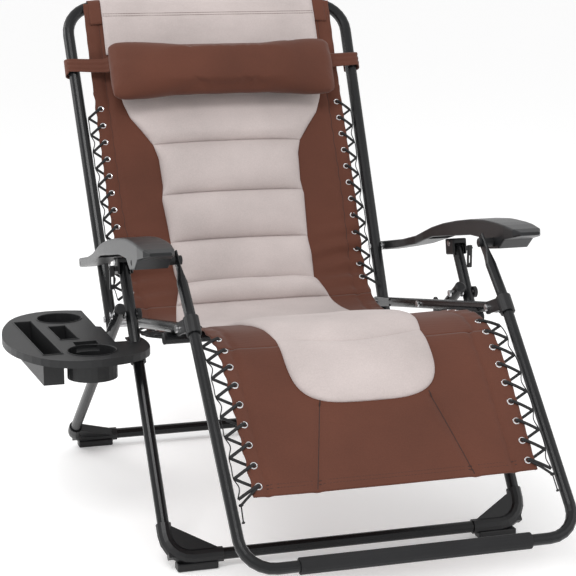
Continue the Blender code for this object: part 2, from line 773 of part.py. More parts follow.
def make_knee_brackets():
    """Plastic sleeves on the leg rest tubes, each with two ears that hold a seat rail's end."""
    foot = side_point(REST_KNEE) + REST_DOWN * (KNEE - side_point(REST_KNEE)).dot(REST_DOWN)
    reach = (KNEE - foot).length
    aft = (KNEE - foot).normalized()
    for name, sign in SIDES:
        x = sign * REST_HALF
        start = foot + REST_DOWN * 0.006 + LATERAL * x
        end = foot + REST_DOWN * 0.040 + LATERAL * x
        sleeve = sweep([start, end], REST_RADIUS + 0.0040)
        bracket = add_object("knee_bracket_" + name, sleeve, "black_plastic")
        outline = arc(KNEE, 0.0125, aft, REST_DOWN, -90, 90, 8)
        outline += [foot + REST_DOWN * 0.034, foot + REST_DOWN * 0.008]
        carve(bracket, plate(outline, x - 0.0145, x + 0.0145), "UNION")
        bore = [start - REST_DOWN * 0.03, end + REST_DOWN * 0.03]
        carve(bracket, sweep(bore, REST_RADIUS + GAP))
        axes = (LATERAL, aft, REST_DOWN)
        middle = foot + aft * (0.0285 + reach / 2) + LATERAL * x
        carve(bracket, box(middle, axes, (0.0106, reach / 2, 0.06)))
        hole(bracket, KNEE, x - 0.03, x + 0.03)


def make_knee_bolts():
    for name, sign in SIDES:
        low = REST_HALF - 0.0145
        high = REST_HALF + 0.0145
        profile = [(low - 0.0048, 0.0045), (low - 0.0040, 0.0068), (low - GAP, 0.0068)]
        profile += [(low - GAP, BOLT_RADIUS), (high + GAP, BOLT_RADIUS)]
        profile += [(high + GAP, 0.0065), (high + 0.0045, 0.0065)]
        add_object("knee_bolt_" + name, turned_x(KNEE, [(sign * x, r) for x, r in profile]), "steel")


# ---------------------------------------------------------------- armrests and locks

# Stations along an armrest: distance behind its front axle, underside, top, inner and outer edge
ARM_STATIONS = (
    (-0.100, 0.0085, 0.0150, 0.325, 0.365),
    (-0.085, 0.0060, 0.0215, 0.317, 0.373),
    (-0.050, 0.0030, 0.0300, 0.314, 0.376),
    (-0.022, -0.0130, 0.0350, 0.314, 0.376),
    (0.020, -0.0130, 0.0405, 0.314, 0.376),
    (0.045, 0.0070, 0.0430, 0.314, 0.376),
    (0.110, 0.0146, 0.0455, 0.314, 0.376),
    (0.180, 0.0146, 0.0445, 0.314, 0.376),
    (0.250, 0.0146, 0.0410, 0.314, 0.375),
    (0.310, 0.0146, 0.0350, 0.315, 0.373),
    (0.360, 0.0085, 0.0275, 0.317, 0.370),
    (0.420, 0.0010, 0.0190, 0.3215, 0.366),
    (0.500, -0.0040, 0.0130, 0.3215, 0.361),
    (0.600, -0.0085, 0.0110, 0.3215, 0.355),
    (0.640, -0.0085, 0.0105, 0.3215, 0.352),
)


def arm_ring(aft, low, high, inner, outer, sign, corner):
    """A rounded rectangle across an armrest."""
    points = []
    start = ARM_AXLE + ARM_AFT * aft
    corners = ((inner, low, 180), (outer, low, 270), (outer, high, 0), (inner, high, 90))
    for x, h, angle in corners:
        cx = x + corner if x == inner else x - corner
        ch = h + corner if h == low else h - corner
        centre = start + ARM_UP * ch + LATERAL * cx
        points += arc(centre, corner, LATERAL, ARM_UP, angle, angle + 90, 3)
    return [Vector((point.x * sign, point.y, point.z)) for point in points]


def rod_point(aft, x):
    """A point on a slide rod's centre line."""
    return ARM_AXLE + ARM_AFT * aft + ARM_UP * ROD_LIFT + LATERAL * x


def make_armrests():
    for name, sign in SIDES:
        sections = [arm_ring(*station, sign, 0.0035) for station in ARM_STATIONS]
        arm = add_object("armrest_" + name, loft(sections), "grey_plastic")
        cavity = []
        for aft, _, high, inner, outer in ARM_STATIONS[5:10]:
            aft = min(max(aft, 0.125), 0.340)
            edges = (inner + ARM_SKIN, outer - ARM_SKIN)
            cavity.append(arm_ring(aft, -0.02, high - 0.0125, *edges, sign, 0.001))
        first = arm_ring(0.060, -0.02, 0.0305, 0.3168, 0.3732, sign, 0.001)
        last = arm_ring(0.345, -0.02, 0.0270, 0.3205, 0.3680, sign, 0.001)
        carve(arm, loft([first] + cavity[2:4] + [last]))
        bed = [rod_point(aft, front_x(sign)) for aft in (ROD_SPAN[0] - GAP, ROD_SPAN[1] + GAP)]
        carve(arm, sweep(bed, ROD_RADIUS + GAP, sides=12))
        hole(arm, ARM_AXLE, sign * 0.30, sign * 0.39, 0.0053)
        hole(arm, ARM_PIN, sign * 0.30, sign * 0.37)


def make_arm_axles():
    for name, sign in SIDES:
        rest_in = REST_HALF - REST_RADIUS * 0.35
        arm_out = ARM_CENTRE_X + ARM_HALF_WIDTH
        rest_out = REST_HALF + REST_RADIUS * 0.35
        profile = [(rest_in - 0.0060, 0.0065), (rest_in - 0.0050, 0.0085), (rest_in - GAP, 0.0085)]
        profile += [(rest_in - GAP, 0.0048), (rest_out + GAP, 0.0048), (rest_out + GAP, 0.0085)]
        profile += [(0.314 - GAP, 0.0085), (0.314 - GAP, 0.0048), (arm_out - 0.001, 0.0048)]
        axle = turned_x(ARM_AXLE, [(sign * x, r) for x, r in profile])
        add_object("arm_axle_" + name, axle, "black_plastic")


def make_arm_pins():
    for name, sign in SIDES:
        tube_in = back_half(ARM_PIN.z) - BACK_RADIUS
        tube_out = back_half(ARM_PIN.z) + BACK_RADIUS
        arm_in = 0.3215
        profile = [(tube_in - 0.0050, 0.0045), (tube_in - 0.0042, 0.0068), (tube_in - GAP, 0.0068)]
        profile += [(tube_in - GAP, BOLT_RADIUS), (tube_out + GAP, BOLT_RADIUS), (tube_out + GAP, 0.0070)]
        profile += [(arm_in - GAP, 0.0070), (arm_in - GAP, BOLT_RADIUS), (0.3505, BOLT_RADIUS)]
        add_object("arm_pin_" + name, turned_x(ARM_PIN, [(sign * x, r) for x, r in profile]), "steel")


def make_slide_rods():
    for name, sign in SIDES:
        ends = [rod_point(aft, front_x(sign)) for aft in ROD_SPAN]
        add_object("slide_rod_" + name, sweep(ends, ROD_RADIUS, sides=12), "steel")


def make_lock_housings():
    for name, sign in SIDES:
        x = front_x(sign)
        centre = LOCK_PIN + LATERAL * x
        axes = (ARM_AFT, ARM_UP, LATERAL)
        cheeks = rounded_block(centre - ARM_UP * 0.0070, axes, (0.021, 0.0162, 0.0152), 0.003)
        housing = add_object("lock_housing_" + name, cheeks, "black_plastic")
        behind = centre + ARM_AFT * 0.03 - ARM_UP * 0.0165
        carve(housing, box(centre - ARM_UP * 0.0405, axes, (0.05, 0.0400, 0.0114)))
        carve(housing, box(centre, axes, (0.0125, 0.03, 0.0114)))
        carve(housing, box(behind, axes, (0.03, 0.0200, 0.0114)))
        ear = box(LEVER_PIVOT + LATERAL * (x + sign * 0.0170), axes, (0.0050, 0.0050, 0.0025))
        carve(housing, ear, "UNION")
        ends = sorted((x + sign * 0.0140, x + sign * 0.0313))
        carve(housing, rod_x(*ends, LEVER_PIVOT, 0.0015, 8), "UNION")
        hole(housing, LOCK_PIN, x - 0.03, x + 0.03, 0.0038)
        pin = [(x - 0.0172, 0.0050), (x - 0.0152 - GAP, 0.0060), (x - 0.0152 - GAP, 0.0033)]
        pin += [(x + 0.0152 + GAP, 0.0033), (x + 0.0152 + GAP, 0.0060), (x + 0.0172, 0.0050)]
        add_object("lock_pin_" + name, turned_x(LOCK_PIN, pin), "steel")


LEVER_PIVOT = LOCK_PIN - ARM_AFT * 0.0120 - ARM_UP * 0.0120


def make_lock_levers():
    """A slotted loop that hangs on a small pin beside each lock housing, on its outer side."""
    for name, sign in SIDES:
        x = front_x(sign) + sign * 0.0248
        down = Vector((0.0, 0.0, -1.0))
        ahead = Vector((0.0, -1.0, 0.0))
        centre = LEVER_PIVOT + down * 0.017 + LATERAL * x
        lever = rounded_block(centre, (ahead, down, LATERAL), (0.0032, 0.0230, 0.0050), 0.0015)
        loop = add_object("lock_lever_" + name, lever, "black_plastic")
        slot = box(centre + down * 0.006, (ahead, down, LATERAL), (0.02, 0.0080, 0.0022))
        carve(loop, slot)
        hole(loop, LEVER_PIVOT, x - 0.02, x + 0.02, 0.0018)


# ---------------------------------------------------------------- soft parts


def back_point(along, out=0.0):
    return HIP + BACK_UP * along + BACK_FACE * out


def make_back_sling():
    """The back panel, with a sleeve at its upper edge that wraps the top bar."""
    top = (BACK_TOP_Z - HIP.z) / BACK_UP.z
    stations = [0.055, 0.10, 0.20, 0.34, 0.48, top - 0.006]
    path = [back_point(along) for along in stations]
    panel = slab(path, BACK_SLING_HALF, CLOTH_HALF, CLOTH_HALF, [BACK_FACE] * len(path))
    sling = add_object("back_sling", panel, "brown_fabric")
    bar = back_point(top)
    ends = [bar - LATERAL * SLEEVE_HALF, bar + LATERAL * SLEEVE_HALF]
    carve(sling, box(bar, (LATERAL, BACK_UP, BACK_FACE), (0.4, 0.028, 0.05)))
    flap = box(bar - BACK_UP * 0.020, (LATERAL, BACK_UP, BACK_FACE), (SLEEVE_HALF, 0.018, 0.0022))
    carve(sling, flap, "UNION")
    up = Vector((0.0, 0.0, 1.0))
    carve(sling, sweep(ends, BACK_RADIUS + 0.0028, first_axis=up), "UNION")
    longer = [bar - LATERAL * 0.4, bar + LATERAL * 0.4]
    carve(sling, sweep(longer, BACK_RADIUS + GAP, first_axis=up))


def make_back_pad():
    """Padding sewn on the face of the back panel, below the pillow."""
    rise = CLOTH_HALF + GAP
    path = [back_point(along, rise) for along in (0.075, 0.095, 0.27, 0.45, 0.530, 0.548)]
    sections = []
    for point, above in zip(path, (0.004, 0.017, PAD_THICK, PAD_THICK, 0.017, 0.004)):
        sections.append(panel_ring(point, BACK_FACE, BACK_PAD_HALF, above, 0.0))
    add_object("back_pad", loft(sections), "pad_fabric")


def rail_point(along, lift):
    """A point measured back from the knee bolts along the seat rails, lifted square to them."""
    return KNEE + ARM_AFT * along + ARM_UP * lift


SEAT_CURVE = (
    (-0.010, -0.006),
    (0.050, -0.003),
    (0.120, -0.004),
    (0.200, -0.014),
    (0.310, -0.027),
    (0.430, -0.031),
    (0.530, -0.022),
    (0.575, -0.012),
)


def seat_path():
    path = [rail_point(*pair) for pair in SEAT_CURVE]
    normals = []
    for index in range(len(path)):
        along = path[min(index + 1, len(path) - 1)] - path[max(index - 1, 0)]
        normals.append(LATERAL.cross(along).normalized())
    return path, normals


def make_seat_sling():
    path, normals = seat_path()
    panel = slab(path, SEAT_SLING_HALF, CLOTH_HALF, CLOTH_HALF, normals)
    add_object("seat_sling", panel, "brown_fabric")
    sections = []
    for point, normal, above in zip(path, normals, SEAT_PAD_THICK):
        place = point + normal * (CLOTH_HALF + GAP)
        sections.append(panel_ring(place, normal, SEAT_PAD_HALF, above, 0.0))
    add_object("seat_pad", loft(sections), "pad_fabric")


def rest_point(along, out=0.0):
    return side_point(REST_KNEE) + REST_DOWN * along + REST_FACE * out


def make_leg_sling():
    path = [rest_point(0.048), rest_point(0.145), rest_point(0.25), rest_point(0.360)]
    add_object("leg_sling", slab(path, LEG_SLING_HALF, 0.008, SLING_UNDER, [REST_FACE] * 4), "brown_fabric")


def make_pillow():
    """A bolster across the top of the back."""
    centre = back_point(PILLOW_ALONG, 0.0575)
    sections = []
    for step in range(13):
        place = -1 + step / 6
        swell = (1 - abs(place) ** 6) ** 0.35 if abs(place) < 1 else 0.0
        size = 0.45 + 0.55 * swell
        ring = []
        for corner in range(16):
            angle = 2 * math.pi * corner / 16
            wide = math.copysign(abs(math.cos(angle)) ** 0.8, math.cos(angle)) * 0.074 * size
            deep = math.copysign(abs(math.sin(angle)) ** 0.8, math.sin(angle)) * 0.0330 * size
            ring.append(centre + LATERAL * (place * PILLOW_HALF) + BACK_UP * wide + BACK_FACE * deep)
        sections.append(ring)
    add_object("headrest_pillow", loft(sections), "brown_fabric")
    for name, sign in SIDES:
        make_pillow_strap("pillow_strap_" + name, sign, centre + BACK_UP * (STRAP_ALONG - PILLOW_ALONG))


def make_pillow_strap(name, sign, centre):
    """A flat band from the pillow's end round the back tube."""
    height = 0.022
    tube = sign * back_half(centre.z)
    tube_line = back_point(STRAP_ALONG)
    middle = tube_line + LATERAL * tube
    reach = BACK_RADIUS + 0.0045
    thick = 0.0016
    band = []
    outside = arc(middle, reach, LATERAL * sign, BACK_FACE, 60, -140, 10)
    start = centre + LATERAL * (sign * (PILLOW_HALF + 0.0012)) - BACK_FACE * 0.006
    band = [start] + outside
    near = []
    far = []
    for index, point in enumerate(band):
        ahead = band[min(index + 1, len(band) - 1)]
        behind = band[max(index - 1, 0)]
        normal = (ahead - behind).normalized().cross(BACK_UP)
        near.append(point + normal * (thick / 2))
        far.append(point - normal * (thick / 2))
    ring = near + list(reversed(far))
    sections = [[point + BACK_UP * offset for point in ring] for offset in (-height, height)]
    add_object(name, loft(sections), "brown_fabric")


def make_lacing(name, start, along, count, pitch, edge, face_low, face_rise, sign):
    """Elastic cord that zigzags between the sling's edge and a tube."""
    inner = edge + LACE_RADIUS + 0.0012
    points = []
    for turn in range(count):
        outer = face_low + face_rise * turn - LACE_RADIUS - 0.0012
        points.append(start + along * (turn * pitch) + LATERAL * (sign * inner))
        points.append(start + along * ((turn + 0.5) * pitch) + LATERAL * (sign * outer))
    curve = bpy.data.curves.new(name, "CURVE")
    curve.dimensions = "3D"
    curve.bevel_depth = LACE_RADIUS
    curve.bevel_resolution = 1
    curve.use_fill_caps = True
    spline = curve.splines.new("POLY")
    spline.points.add(len(points) - 1)
    for place, point in zip(spline.points, points):
        place.co = (*point, 1.0)
    curve.materials.append(paint(name, *LOOKS["black_cord"]))
    thing = bpy.data.objects.new(name, curve)
    bpy.context.scene.collection.objects.link(thing)


def make_all_lacing():
    back_pitch = 0.0366
    rest_pitch = 0.0330
    for name, sign in SIDES:
        low = back_point(0.158, 0.006)
        face = back_half(low.z) - BACK_RADIUS
        rise = BACK_SPREAD * back_pitch * BACK_UP.z
        make_lacing("back_lacing_" + name, low, BACK_UP, 10, back_pitch, BACK_SLING_HALF, face, rise, sign)
        high = rest_point(0.095, 0.004)
        face = REST_HALF - REST_RADIUS
        make_lacing("leg_lacing_" + name, high, REST_DOWN, 8, rest_pitch, LEG_SLING_HALF, face, 0.0, sign)


# ---------------------------------------------------------------- tray


def tray_outline(inset=0.0):
    """The tray's plan, seen from above: a smooth closed curve through TRAY_PLAN, drawn in by inset."""
    count = len(TRAY_PLAN)
    curve = []
    for index in range(count):
        p0, p1, p2, p3 = [Vector(TRAY_PLAN[(index + step - 1) % count]) for step in range(4)]
        for step in range(3):
            t = step / 3
            point = p1 * 2 + (p2 - p0) * t + (p0 * 2 - p1 * 5 + p2 * 4 - p3) * t * t
            curve.append((point + (p1 * 3 - p0 - p2 * 3 + p3) * t**3) / 2)
    points = []
    for index, point in enumerate(curve):
        along = (curve[(index + 1) % len(curve)] - curve[index - 1]).normalized()
        points.append((point.x - along.y * inset, point.y + along.x * inset))
    return points


def prism(outline, low, high):
    """An upright prism on a plan outline."""
    mesh = bmesh.new()
    bottom = [mesh.verts.new((x, y, low)) for x, y in outline]
    top = [mesh.verts.new((x, y, high)) for x, y in outline]
    mesh.faces.new(bottom)
    mesh.faces.new(top)
    for index in range(len(outline)):
        after = (index + 1) % len(outline)
        mesh.faces.new((bottom[index], bottom[after], top[after], top[index]))
    return mesh


def circle(cx, cy, radius, steps=24):
    return [
        (cx + radius * math.cos(2 * math.pi * s / steps), cy + radius * math.sin(2 * math.pi * s / steps))
        for s in range(steps)
    ]


def rectangle(cx, cy, half_x, half_y, slant=0.0):
    """A plan rectangle whose long sides may lean."""
    corners = ((-half_x, -half_y), (half_x, -half_y), (half_x, half_y), (-half_x, half_y))
    return [(cx + x - slant * y, cy + y) for x, y in corners]


TRAY_PLAN = (
    (-0.569, 0.000),
    (-0.558, -0.070),
    (-0.525, -0.142),
    (-0.480, -0.178),
    (-0.421, -0.185),
    (-0.360, -0.168),
    (-0.322, -0.130),
    (-0.312, -0.080),
    (-0.317, -0.030),
    (-0.334, 0.005),
    (-0.337, 0.080),
    (-0.335, 0.160),
    (-0.357, 0.215),
    (-0.410, 0.241),
    (-0.470, 0.240),
    (-0.520, 0.203),
    (-0.550, 0.135),
    (-0.565, 0.065),
)
CUP_WELL = (-0.436, 0.171, 0.043)
GLASS_WELL = (-0.425, -0.111, 0.044)
PHONE_SLOT = (-0.505, 0.018, 0.0165, 0.139, 0.057)
SMALL_SLOT = (-0.451, 0.044, 0.0165, 0.056, 0.030)
SLOT_SLANT = 0.045
WELL_DEPTH = 0.050
WALL = 0.0025


def make_tray():
    tray = add_object("tray", prism(tray_outline(), TRAY_TOP - TRAY_DEPTH, TRAY_TOP), "grey_plastic")
    carve(tray, prism(tray_outline(TRAY_SKIN), TRAY_TOP - TRAY_DEPTH - 0.01, TRAY_TOP - TRAY_SKIN))
    pocket = rectangle(GLASS_WELL[0], GLASS_WELL[1] + 0.056, 0.022 + WALL, 0.019 + WALL)
    carve(tray, prism(pocket, TRAY_TOP - 0.0145, TRAY_TOP - 0.001), "UNION")
    for cx, cy, radius in (CUP_WELL, GLASS_WELL):
        cup = prism(circle(cx, cy, radius + WALL), TRAY_TOP - WELL_DEPTH, TRAY_TOP - 0.001)
        carve(tray, cup, "UNION")
    for cx, cy, half_x, half_y, depth in (PHONE_SLOT, SMALL_SLOT):
        plan = rectangle(cx, cy, half_x + WALL, half_y + WALL, SLOT_SLANT)
        carve(tray, prism(plan, TRAY_TOP - depth, TRAY_TOP - 0.001), "UNION")
    for cx, cy, radius in (CUP_WELL, GLASS_WELL):
        carve(tray, prism(circle(cx, cy, radius), TRAY_TOP - WELL_DEPTH + WALL, TRAY_TOP + 0.01))
    for cx, cy, half_x, half_y, depth in (PHONE_SLOT, SMALL_SLOT):
        plan = rectangle(cx, cy, half_x, half_y, SLOT_SLANT)
        carve(tray, prism(plan, TRAY_TOP - depth + WALL, TRAY_TOP + 0.01))
    notch = rectangle(GLASS_WELL[0], GLASS_WELL[1] + 0.056, 0.022, 0.019)
    carve(tray, prism(notch, TRAY_TOP - 0.012, TRAY_TOP + 0.01))
    leg_line = P_BOLT + LATERAL * front_x(-1)
    leg = [leg_line - FRONT_UP * 0.12, leg_line + FRONT_UP * 0.02]
    collar = sweep(leg, LEG_RADIUS + 0.0040)
    axes = (LATERAL, Vector((0.0, 1.0, 0.0)), Vector((0.0, 0.0, 1.0)))
    band = box(Vector((front_x(-1), 0.0, TRAY_TOP - 0.0075)), axes, (0.05, 0.3, 0.0055))
    solid = add_object("collar", collar, "grey_plastic")
    carve(solid, band, "INTERSECT")
    ring = bmesh.new()
    ring.from_mesh(solid.data)
    bpy.data.objects.remove(solid)
    carve(tray, ring, "UNION")
    carve(tray, sweep(leg, LEG_RADIUS + 0.0005))
    notch = [(-0.3702, -0.056), (-0.3449, -0.056), (-0.3449, -0.026)]
    notch += [(-0.300, -0.012), (-0.300, 0.26), (-0.3795, 0.26), (-0.3795, 0.082), (-0.3702, 0.076)]
    carve(tray, prism(notch, TRAY_TOP - 0.1, TRAY_TOP + 0.02))
    below = leg_line + FRONT_UP * ((TRAY_TOP - TRAY_DEPTH - 0.012 - P_BOLT.z) / FRONT_UP.z)
    clip_path = [below, below - FRONT_UP * 0.014]
    add_object("tray_clip", sweep(clip_path, LEG_RADIUS + 0.0040, 0.0040 - GAP), "black_plastic")


# ---------------------------------------------------------------- the whole chair


def hang_on(name, axis_point, children):
    """Parents pieces to an empty that stands on their joint's axis."""
    pivot = bpy.data.objects.new(name, None)
    pivot.empty_display_size = 0.03
    bpy.context.scene.collection.objects.link(pivot)
    pivot.location = axis_point
    for child in children:
        thing = bpy.data.objects[child]
        thing.parent = pivot
        thing.location = thing.location - axis_point
    return pivot


def both(*names):
    return [name + "_" + side for name in names for side, _ in SIDES]


def hang_on_axes():
    """Every moving group hangs on an empty on its own joint's axis."""
    hang_on("fold_axis", P_BOLT, ["rear_leg_frame"] + both("rear_boot", "rear_leg_plug", "seat_pivot_bolt"))
    seat = ["seat_cross_tube", "seat_sling", "seat_pad"]
    hang_on("recline_axis", SEAT_PIVOT, seat + both("seat_rail", "cross_tube_plug", "hip_bolt", "knee_bolt"))
    back = ["back_frame", "back_sling", "back_pad"]
    hang_on("hip_axis", HIP, back + both("back_plug", "back_lacing", "arm_pin"))
    hang_on("pillow_rest", back_point(PILLOW_ALONG), ["headrest_pillow"] + both("pillow_strap"))
    leg = ["leg_rest_frame", "foot_sleeve", "leg_sling"]
    hang_on("knee_axis", KNEE, leg + both("knee_bracket", "leg_lacing"))
    for side, sign in SIDES:
        arm = ["armrest_" + side, "slide_rod_" + side, "arm_axle_" + side]
        hang_on("armrest_axis_" + side, ARM_PIN + LATERAL * (sign * 0.33), arm)
        offset = LATERAL * front_x(sign)
        hang_on("lock_axis_" + side, LOCK_PIN + offset, ["lock_housing_" + side])
        hang_on("lever_axis_" + side, LEVER_PIVOT + offset, ["lock_lever_" + side])


def centre_over_origin():
    """Moves everything so that the middle of the footprint is at the origin."""
    bpy.context.view_layer.update()
    points = []
    for thing in bpy.context.scene.objects:
        if thing.type == "MESH":
            points += [thing.matrix_world @ vertex.co for vertex in thing.data.vertices]
    low = Vector([min(point[axis] for point in points) for axis in range(3)])
    high = Vector([max(point[axis] for point in points) for axis in range(3)])
    shift = Vector((-(low.x + high.x) / 2, -(low.y + high.y) / 2, -low.z))
    for thing in bpy.context.scene.objects:
        if thing.parent is None:
            thing.location += shift


def main():
    for thing in list(bpy.data.objects):
        bpy.data.objects.remove(thing)
    make_front_legs()
    make_rear_legs()
    make_leg_plugs()
    for name, sign in SIDES:
        make_boot("front_boot_" + name, front_x, sign, FRONT_LEG_SLOPE)
        make_boot("rear_boot_" + name, rear_x, sign, REAR_LEG_SLOPE)
    make_leg_bolts()
    make_seat_rails()
    make_cross_tube()
    make_seat_pivot_bolts()
    make_hip_bolts()
    make_back_frame()
    make_back_plugs()
    make_leg_rest_frame()
    make_foot_sleeve()
    make_knee_brackets()
    make_knee_bolts()
    make_armrests()
    make_arm_axles()
    make_arm_pins()
    make_slide_rods()
    make_lock_housings()
    make_lock_levers()
    make_back_sling()
    make_back_pad()
    make_seat_sling()
    make_leg_sling()
    make_pillow()
    make_all_lacing()
    make_tray()
    hang_on_axes()
    centre_over_origin()


main()
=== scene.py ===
"""Looks of the zero gravity recliner: fabric sling, quilted pad, pillow, lacing, plastics and paint."""

import json
import math

import bmesh
import bpy
import numpy as np
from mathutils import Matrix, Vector, noise


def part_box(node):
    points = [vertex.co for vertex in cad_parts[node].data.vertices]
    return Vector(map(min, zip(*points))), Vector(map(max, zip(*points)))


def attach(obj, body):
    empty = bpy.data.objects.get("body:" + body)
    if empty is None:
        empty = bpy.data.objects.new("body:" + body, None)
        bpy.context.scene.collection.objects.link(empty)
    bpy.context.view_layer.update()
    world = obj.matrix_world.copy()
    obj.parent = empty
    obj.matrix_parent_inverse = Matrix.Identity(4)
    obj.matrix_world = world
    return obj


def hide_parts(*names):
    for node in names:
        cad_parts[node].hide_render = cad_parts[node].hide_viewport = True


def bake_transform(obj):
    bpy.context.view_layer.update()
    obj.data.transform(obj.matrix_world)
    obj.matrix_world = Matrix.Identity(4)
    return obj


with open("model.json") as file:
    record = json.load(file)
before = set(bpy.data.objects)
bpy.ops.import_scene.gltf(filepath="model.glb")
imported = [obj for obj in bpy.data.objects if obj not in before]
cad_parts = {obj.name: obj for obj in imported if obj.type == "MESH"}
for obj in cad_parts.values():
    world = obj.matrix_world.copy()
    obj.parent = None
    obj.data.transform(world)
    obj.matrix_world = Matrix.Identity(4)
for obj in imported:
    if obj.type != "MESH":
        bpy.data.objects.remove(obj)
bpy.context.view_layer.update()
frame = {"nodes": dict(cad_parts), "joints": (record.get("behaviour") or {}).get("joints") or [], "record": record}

# ---------------------------------------------------------------- places taken from the frame

JOINTS = {joint["name"]: joint for joint in frame["joints"]}


def joint_point(name):
    return Vector(JOINTS[name]["pos_m"])


HIP = joint_point("hip")
KNEE = joint_point("knee")
LEG_BOLT = joint_point("fold")
MIDDLE = HIP.x
LATERAL = Vector((1.0, 0.0, 0.0))
BACK_UP = Vector(JOINTS["pillow_slide"]["axis"]).normalized()
BACK_FACE = BACK_UP.cross(LATERAL) * -1.0
BACK_FACE = BACK_FACE if BACK_FACE.y < 0 else BACK_FACE * -1.0
ARM_AFT = (HIP - KNEE).normalized()
ARM_UP = LATERAL.cross(ARM_AFT)
sleeve_low, sleeve_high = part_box("foot_sleeve")
FOOT = (sleeve_low + sleeve_high) / 2
FOOT.x = MIDDLE
REST_DOWN = Vector((0.0, -0.978, -1.0)).normalized()
REST_FACE = REST_DOWN.cross(LATERAL)
REST_FACE = REST_FACE if REST_FACE.z > 0 else REST_FACE * -1.0
REST_TOP = FOOT - REST_DOWN * 0.4871

# Sling sizes
BACK_HALF = 0.279
SEAT_HALF = 0.262
LEG_HALF = 0.257
EYELET_INSET = 0.0125
EYELET_PITCH = 0.0385
TUBE_REST_HALF = 0.294
SEAM_REST = 0.062
PAD_GAP = 0.0012
BACK_TUBE_RADIUS = 0.0125

# The row of eyelets starts this far up the back and ends this far down the leg rest
FIRST_EYELET = 0.470
LAST_EYELET = 0.339

# Quilt: how far each part stands up, and how it sits on the sling
BACK_QUILT_HEIGHT = 0.0290
SEAT_REAR_HEIGHT = 0.010
SEAT_FRONT_HEIGHT = 0.013
LEG_QUILT_HEIGHT = 0.016
LEG_QUILT_HALF = 0.135
LEG_QUILT_ROUNDNESS = 3.4
LEG_QUILT_SHIFT = -0.009
BACK_QUILT_SHIFT = 0.006
SEAM_BOW = 0.0035

# Sewing, with the distances of the stitch rows from the edge they follow
EDGE_STITCH_INSET = 0.0045
HEM_ROWS = (0.014, 0.0205)
BAND_HALF = 0.2445
BAND_RADIUS = 0.0150
BAND_ROWS = (0.0245, 0.0300)

# Lacing
EYELET_RADIUS = 0.0056
EYELET_WIRE = 0.00165
CORD_RADIUS = 0.0029
RETURN_RADIUS = 0.0027
KEEPER_RADIUS = 0.0011

# Pillow and straps
PILLOW_DROP = 0.009
PILLOW_HALF_HEIGHT = 0.070
PILLOW_HALF_DEPTH = 0.030
PILLOW_ROUNDNESS = 0.84
STRAP_WIDTH = 0.036
STRAP_ALONG = 0.571
STRAP_REACH = 0.0185

# Tray openings, from a point 25 mm beyond the leg bolt in y: centre, then radius or half sizes
TRAY_WELLS = ((-0.436, 0.171, 0.0445), (-0.425, -0.111, 0.0455))
TRAY_SLOTS = ((-0.505, 0.018, 0.018, 0.1405), (-0.451, 0.044, 0.018, 0.0575))
TRAY_SLOT_SLANT = -0.045

# Camera
CAMERA_AZIMUTH = 17.33
CAMERA_ELEVATION = 11.78
CAMERA_DISTANCE = 3.4656
CAMERA_LENS = 110.6
CAMERA_TARGET = (-0.0126, 0.025, 0.4395)


def back_point(along, out=0.0):
    return HIP + BACK_UP * along + BACK_FACE * out


def rail_point(along, lift=0.0):
    return KNEE + ARM_AFT * along + ARM_UP * lift


def rest_point(along, out=0.0):
    return REST_TOP + REST_DOWN * along + REST_FACE * out


def back_half_at(along):
    """Half the spacing of the back tubes, at a distance up the back."""
    return 0.3027 + 0.030 * along * BACK_UP.z


# ---------------------------------------------------------------- materials


def new_material(name, colour, roughness, metallic=0.0):
    material = bpy.data.materials.new(name)
    material.use_nodes = True
    shader = material.node_tree.nodes["Principled BSDF"]
    shader.inputs["Base Color"].default_value = (*colour, 1.0)
    shader.inputs["Roughness"].default_value = roughness
    shader.inputs["Metallic"].default_value = metallic
    return material, material.node_tree.nodes, material.node_tree.links, shader


def noise_node(nodes, links, scale, detail=2.0, coordinate="Object"):
    place = nodes.new("ShaderNodeTexCoord")
    grain = nodes.new("ShaderNodeTexNoise")
    grain.inputs["Scale"].default_value = scale
    grain.inputs["Detail"].default_value = detail
    links.new(place.outputs[coordinate], grain.inputs["Vector"])
    return grain


def colour_ramp(nodes, links, source, low, high, start=0.3, end=0.7):
    ramp = nodes.new("ShaderNodeValToRGB")
    ramp.color_ramp.elements[0].position = start
    ramp.color_ramp.elements[1].position = end
    ramp.color_ramp.elements[0].color = (*low, 1.0)
    ramp.color_ramp.elements[1].color = (*high, 1.0)
    links.new(source, ramp.inputs["Fac"])
    return ramp


def add_bump(nodes, links, shader, height, strength, distance):
    bump = nodes.new("ShaderNodeBump")
    bump.inputs["Strength"].default_value = strength
    bump.inputs["Distance"].default_value = distance
    links.new(height, bump.inputs["Height"])
    links.new(bump.outputs["Normal"], shader.inputs["Normal"])
    return bump


def scaled(colour, factor):
    return tuple(channel * factor for channel in colour)


def painted(name, colour, roughness):
    """Satin powder coat: fine orange peel and a little unevenness in its colour."""
    material, nodes, links, shader = new_material(name, colour, roughness)
    shader.inputs["Specular IOR Level"].default_value = 0.30
    cloud = noise_node(nodes, links, 9.0, 4.0)
    ramp = colour_ramp(nodes, links, cloud.outputs["Fac"], scaled(colour, 0.85), scaled(colour, 1.2))
    links.new(ramp.outputs["Color"], shader.inputs["Base Color"])
    peel = noise_node(nodes, links, 900.0, 1.0)
    add_bump(nodes, links, shader, peel.outputs["Fac"], 0.18, 0.0004)
    return material


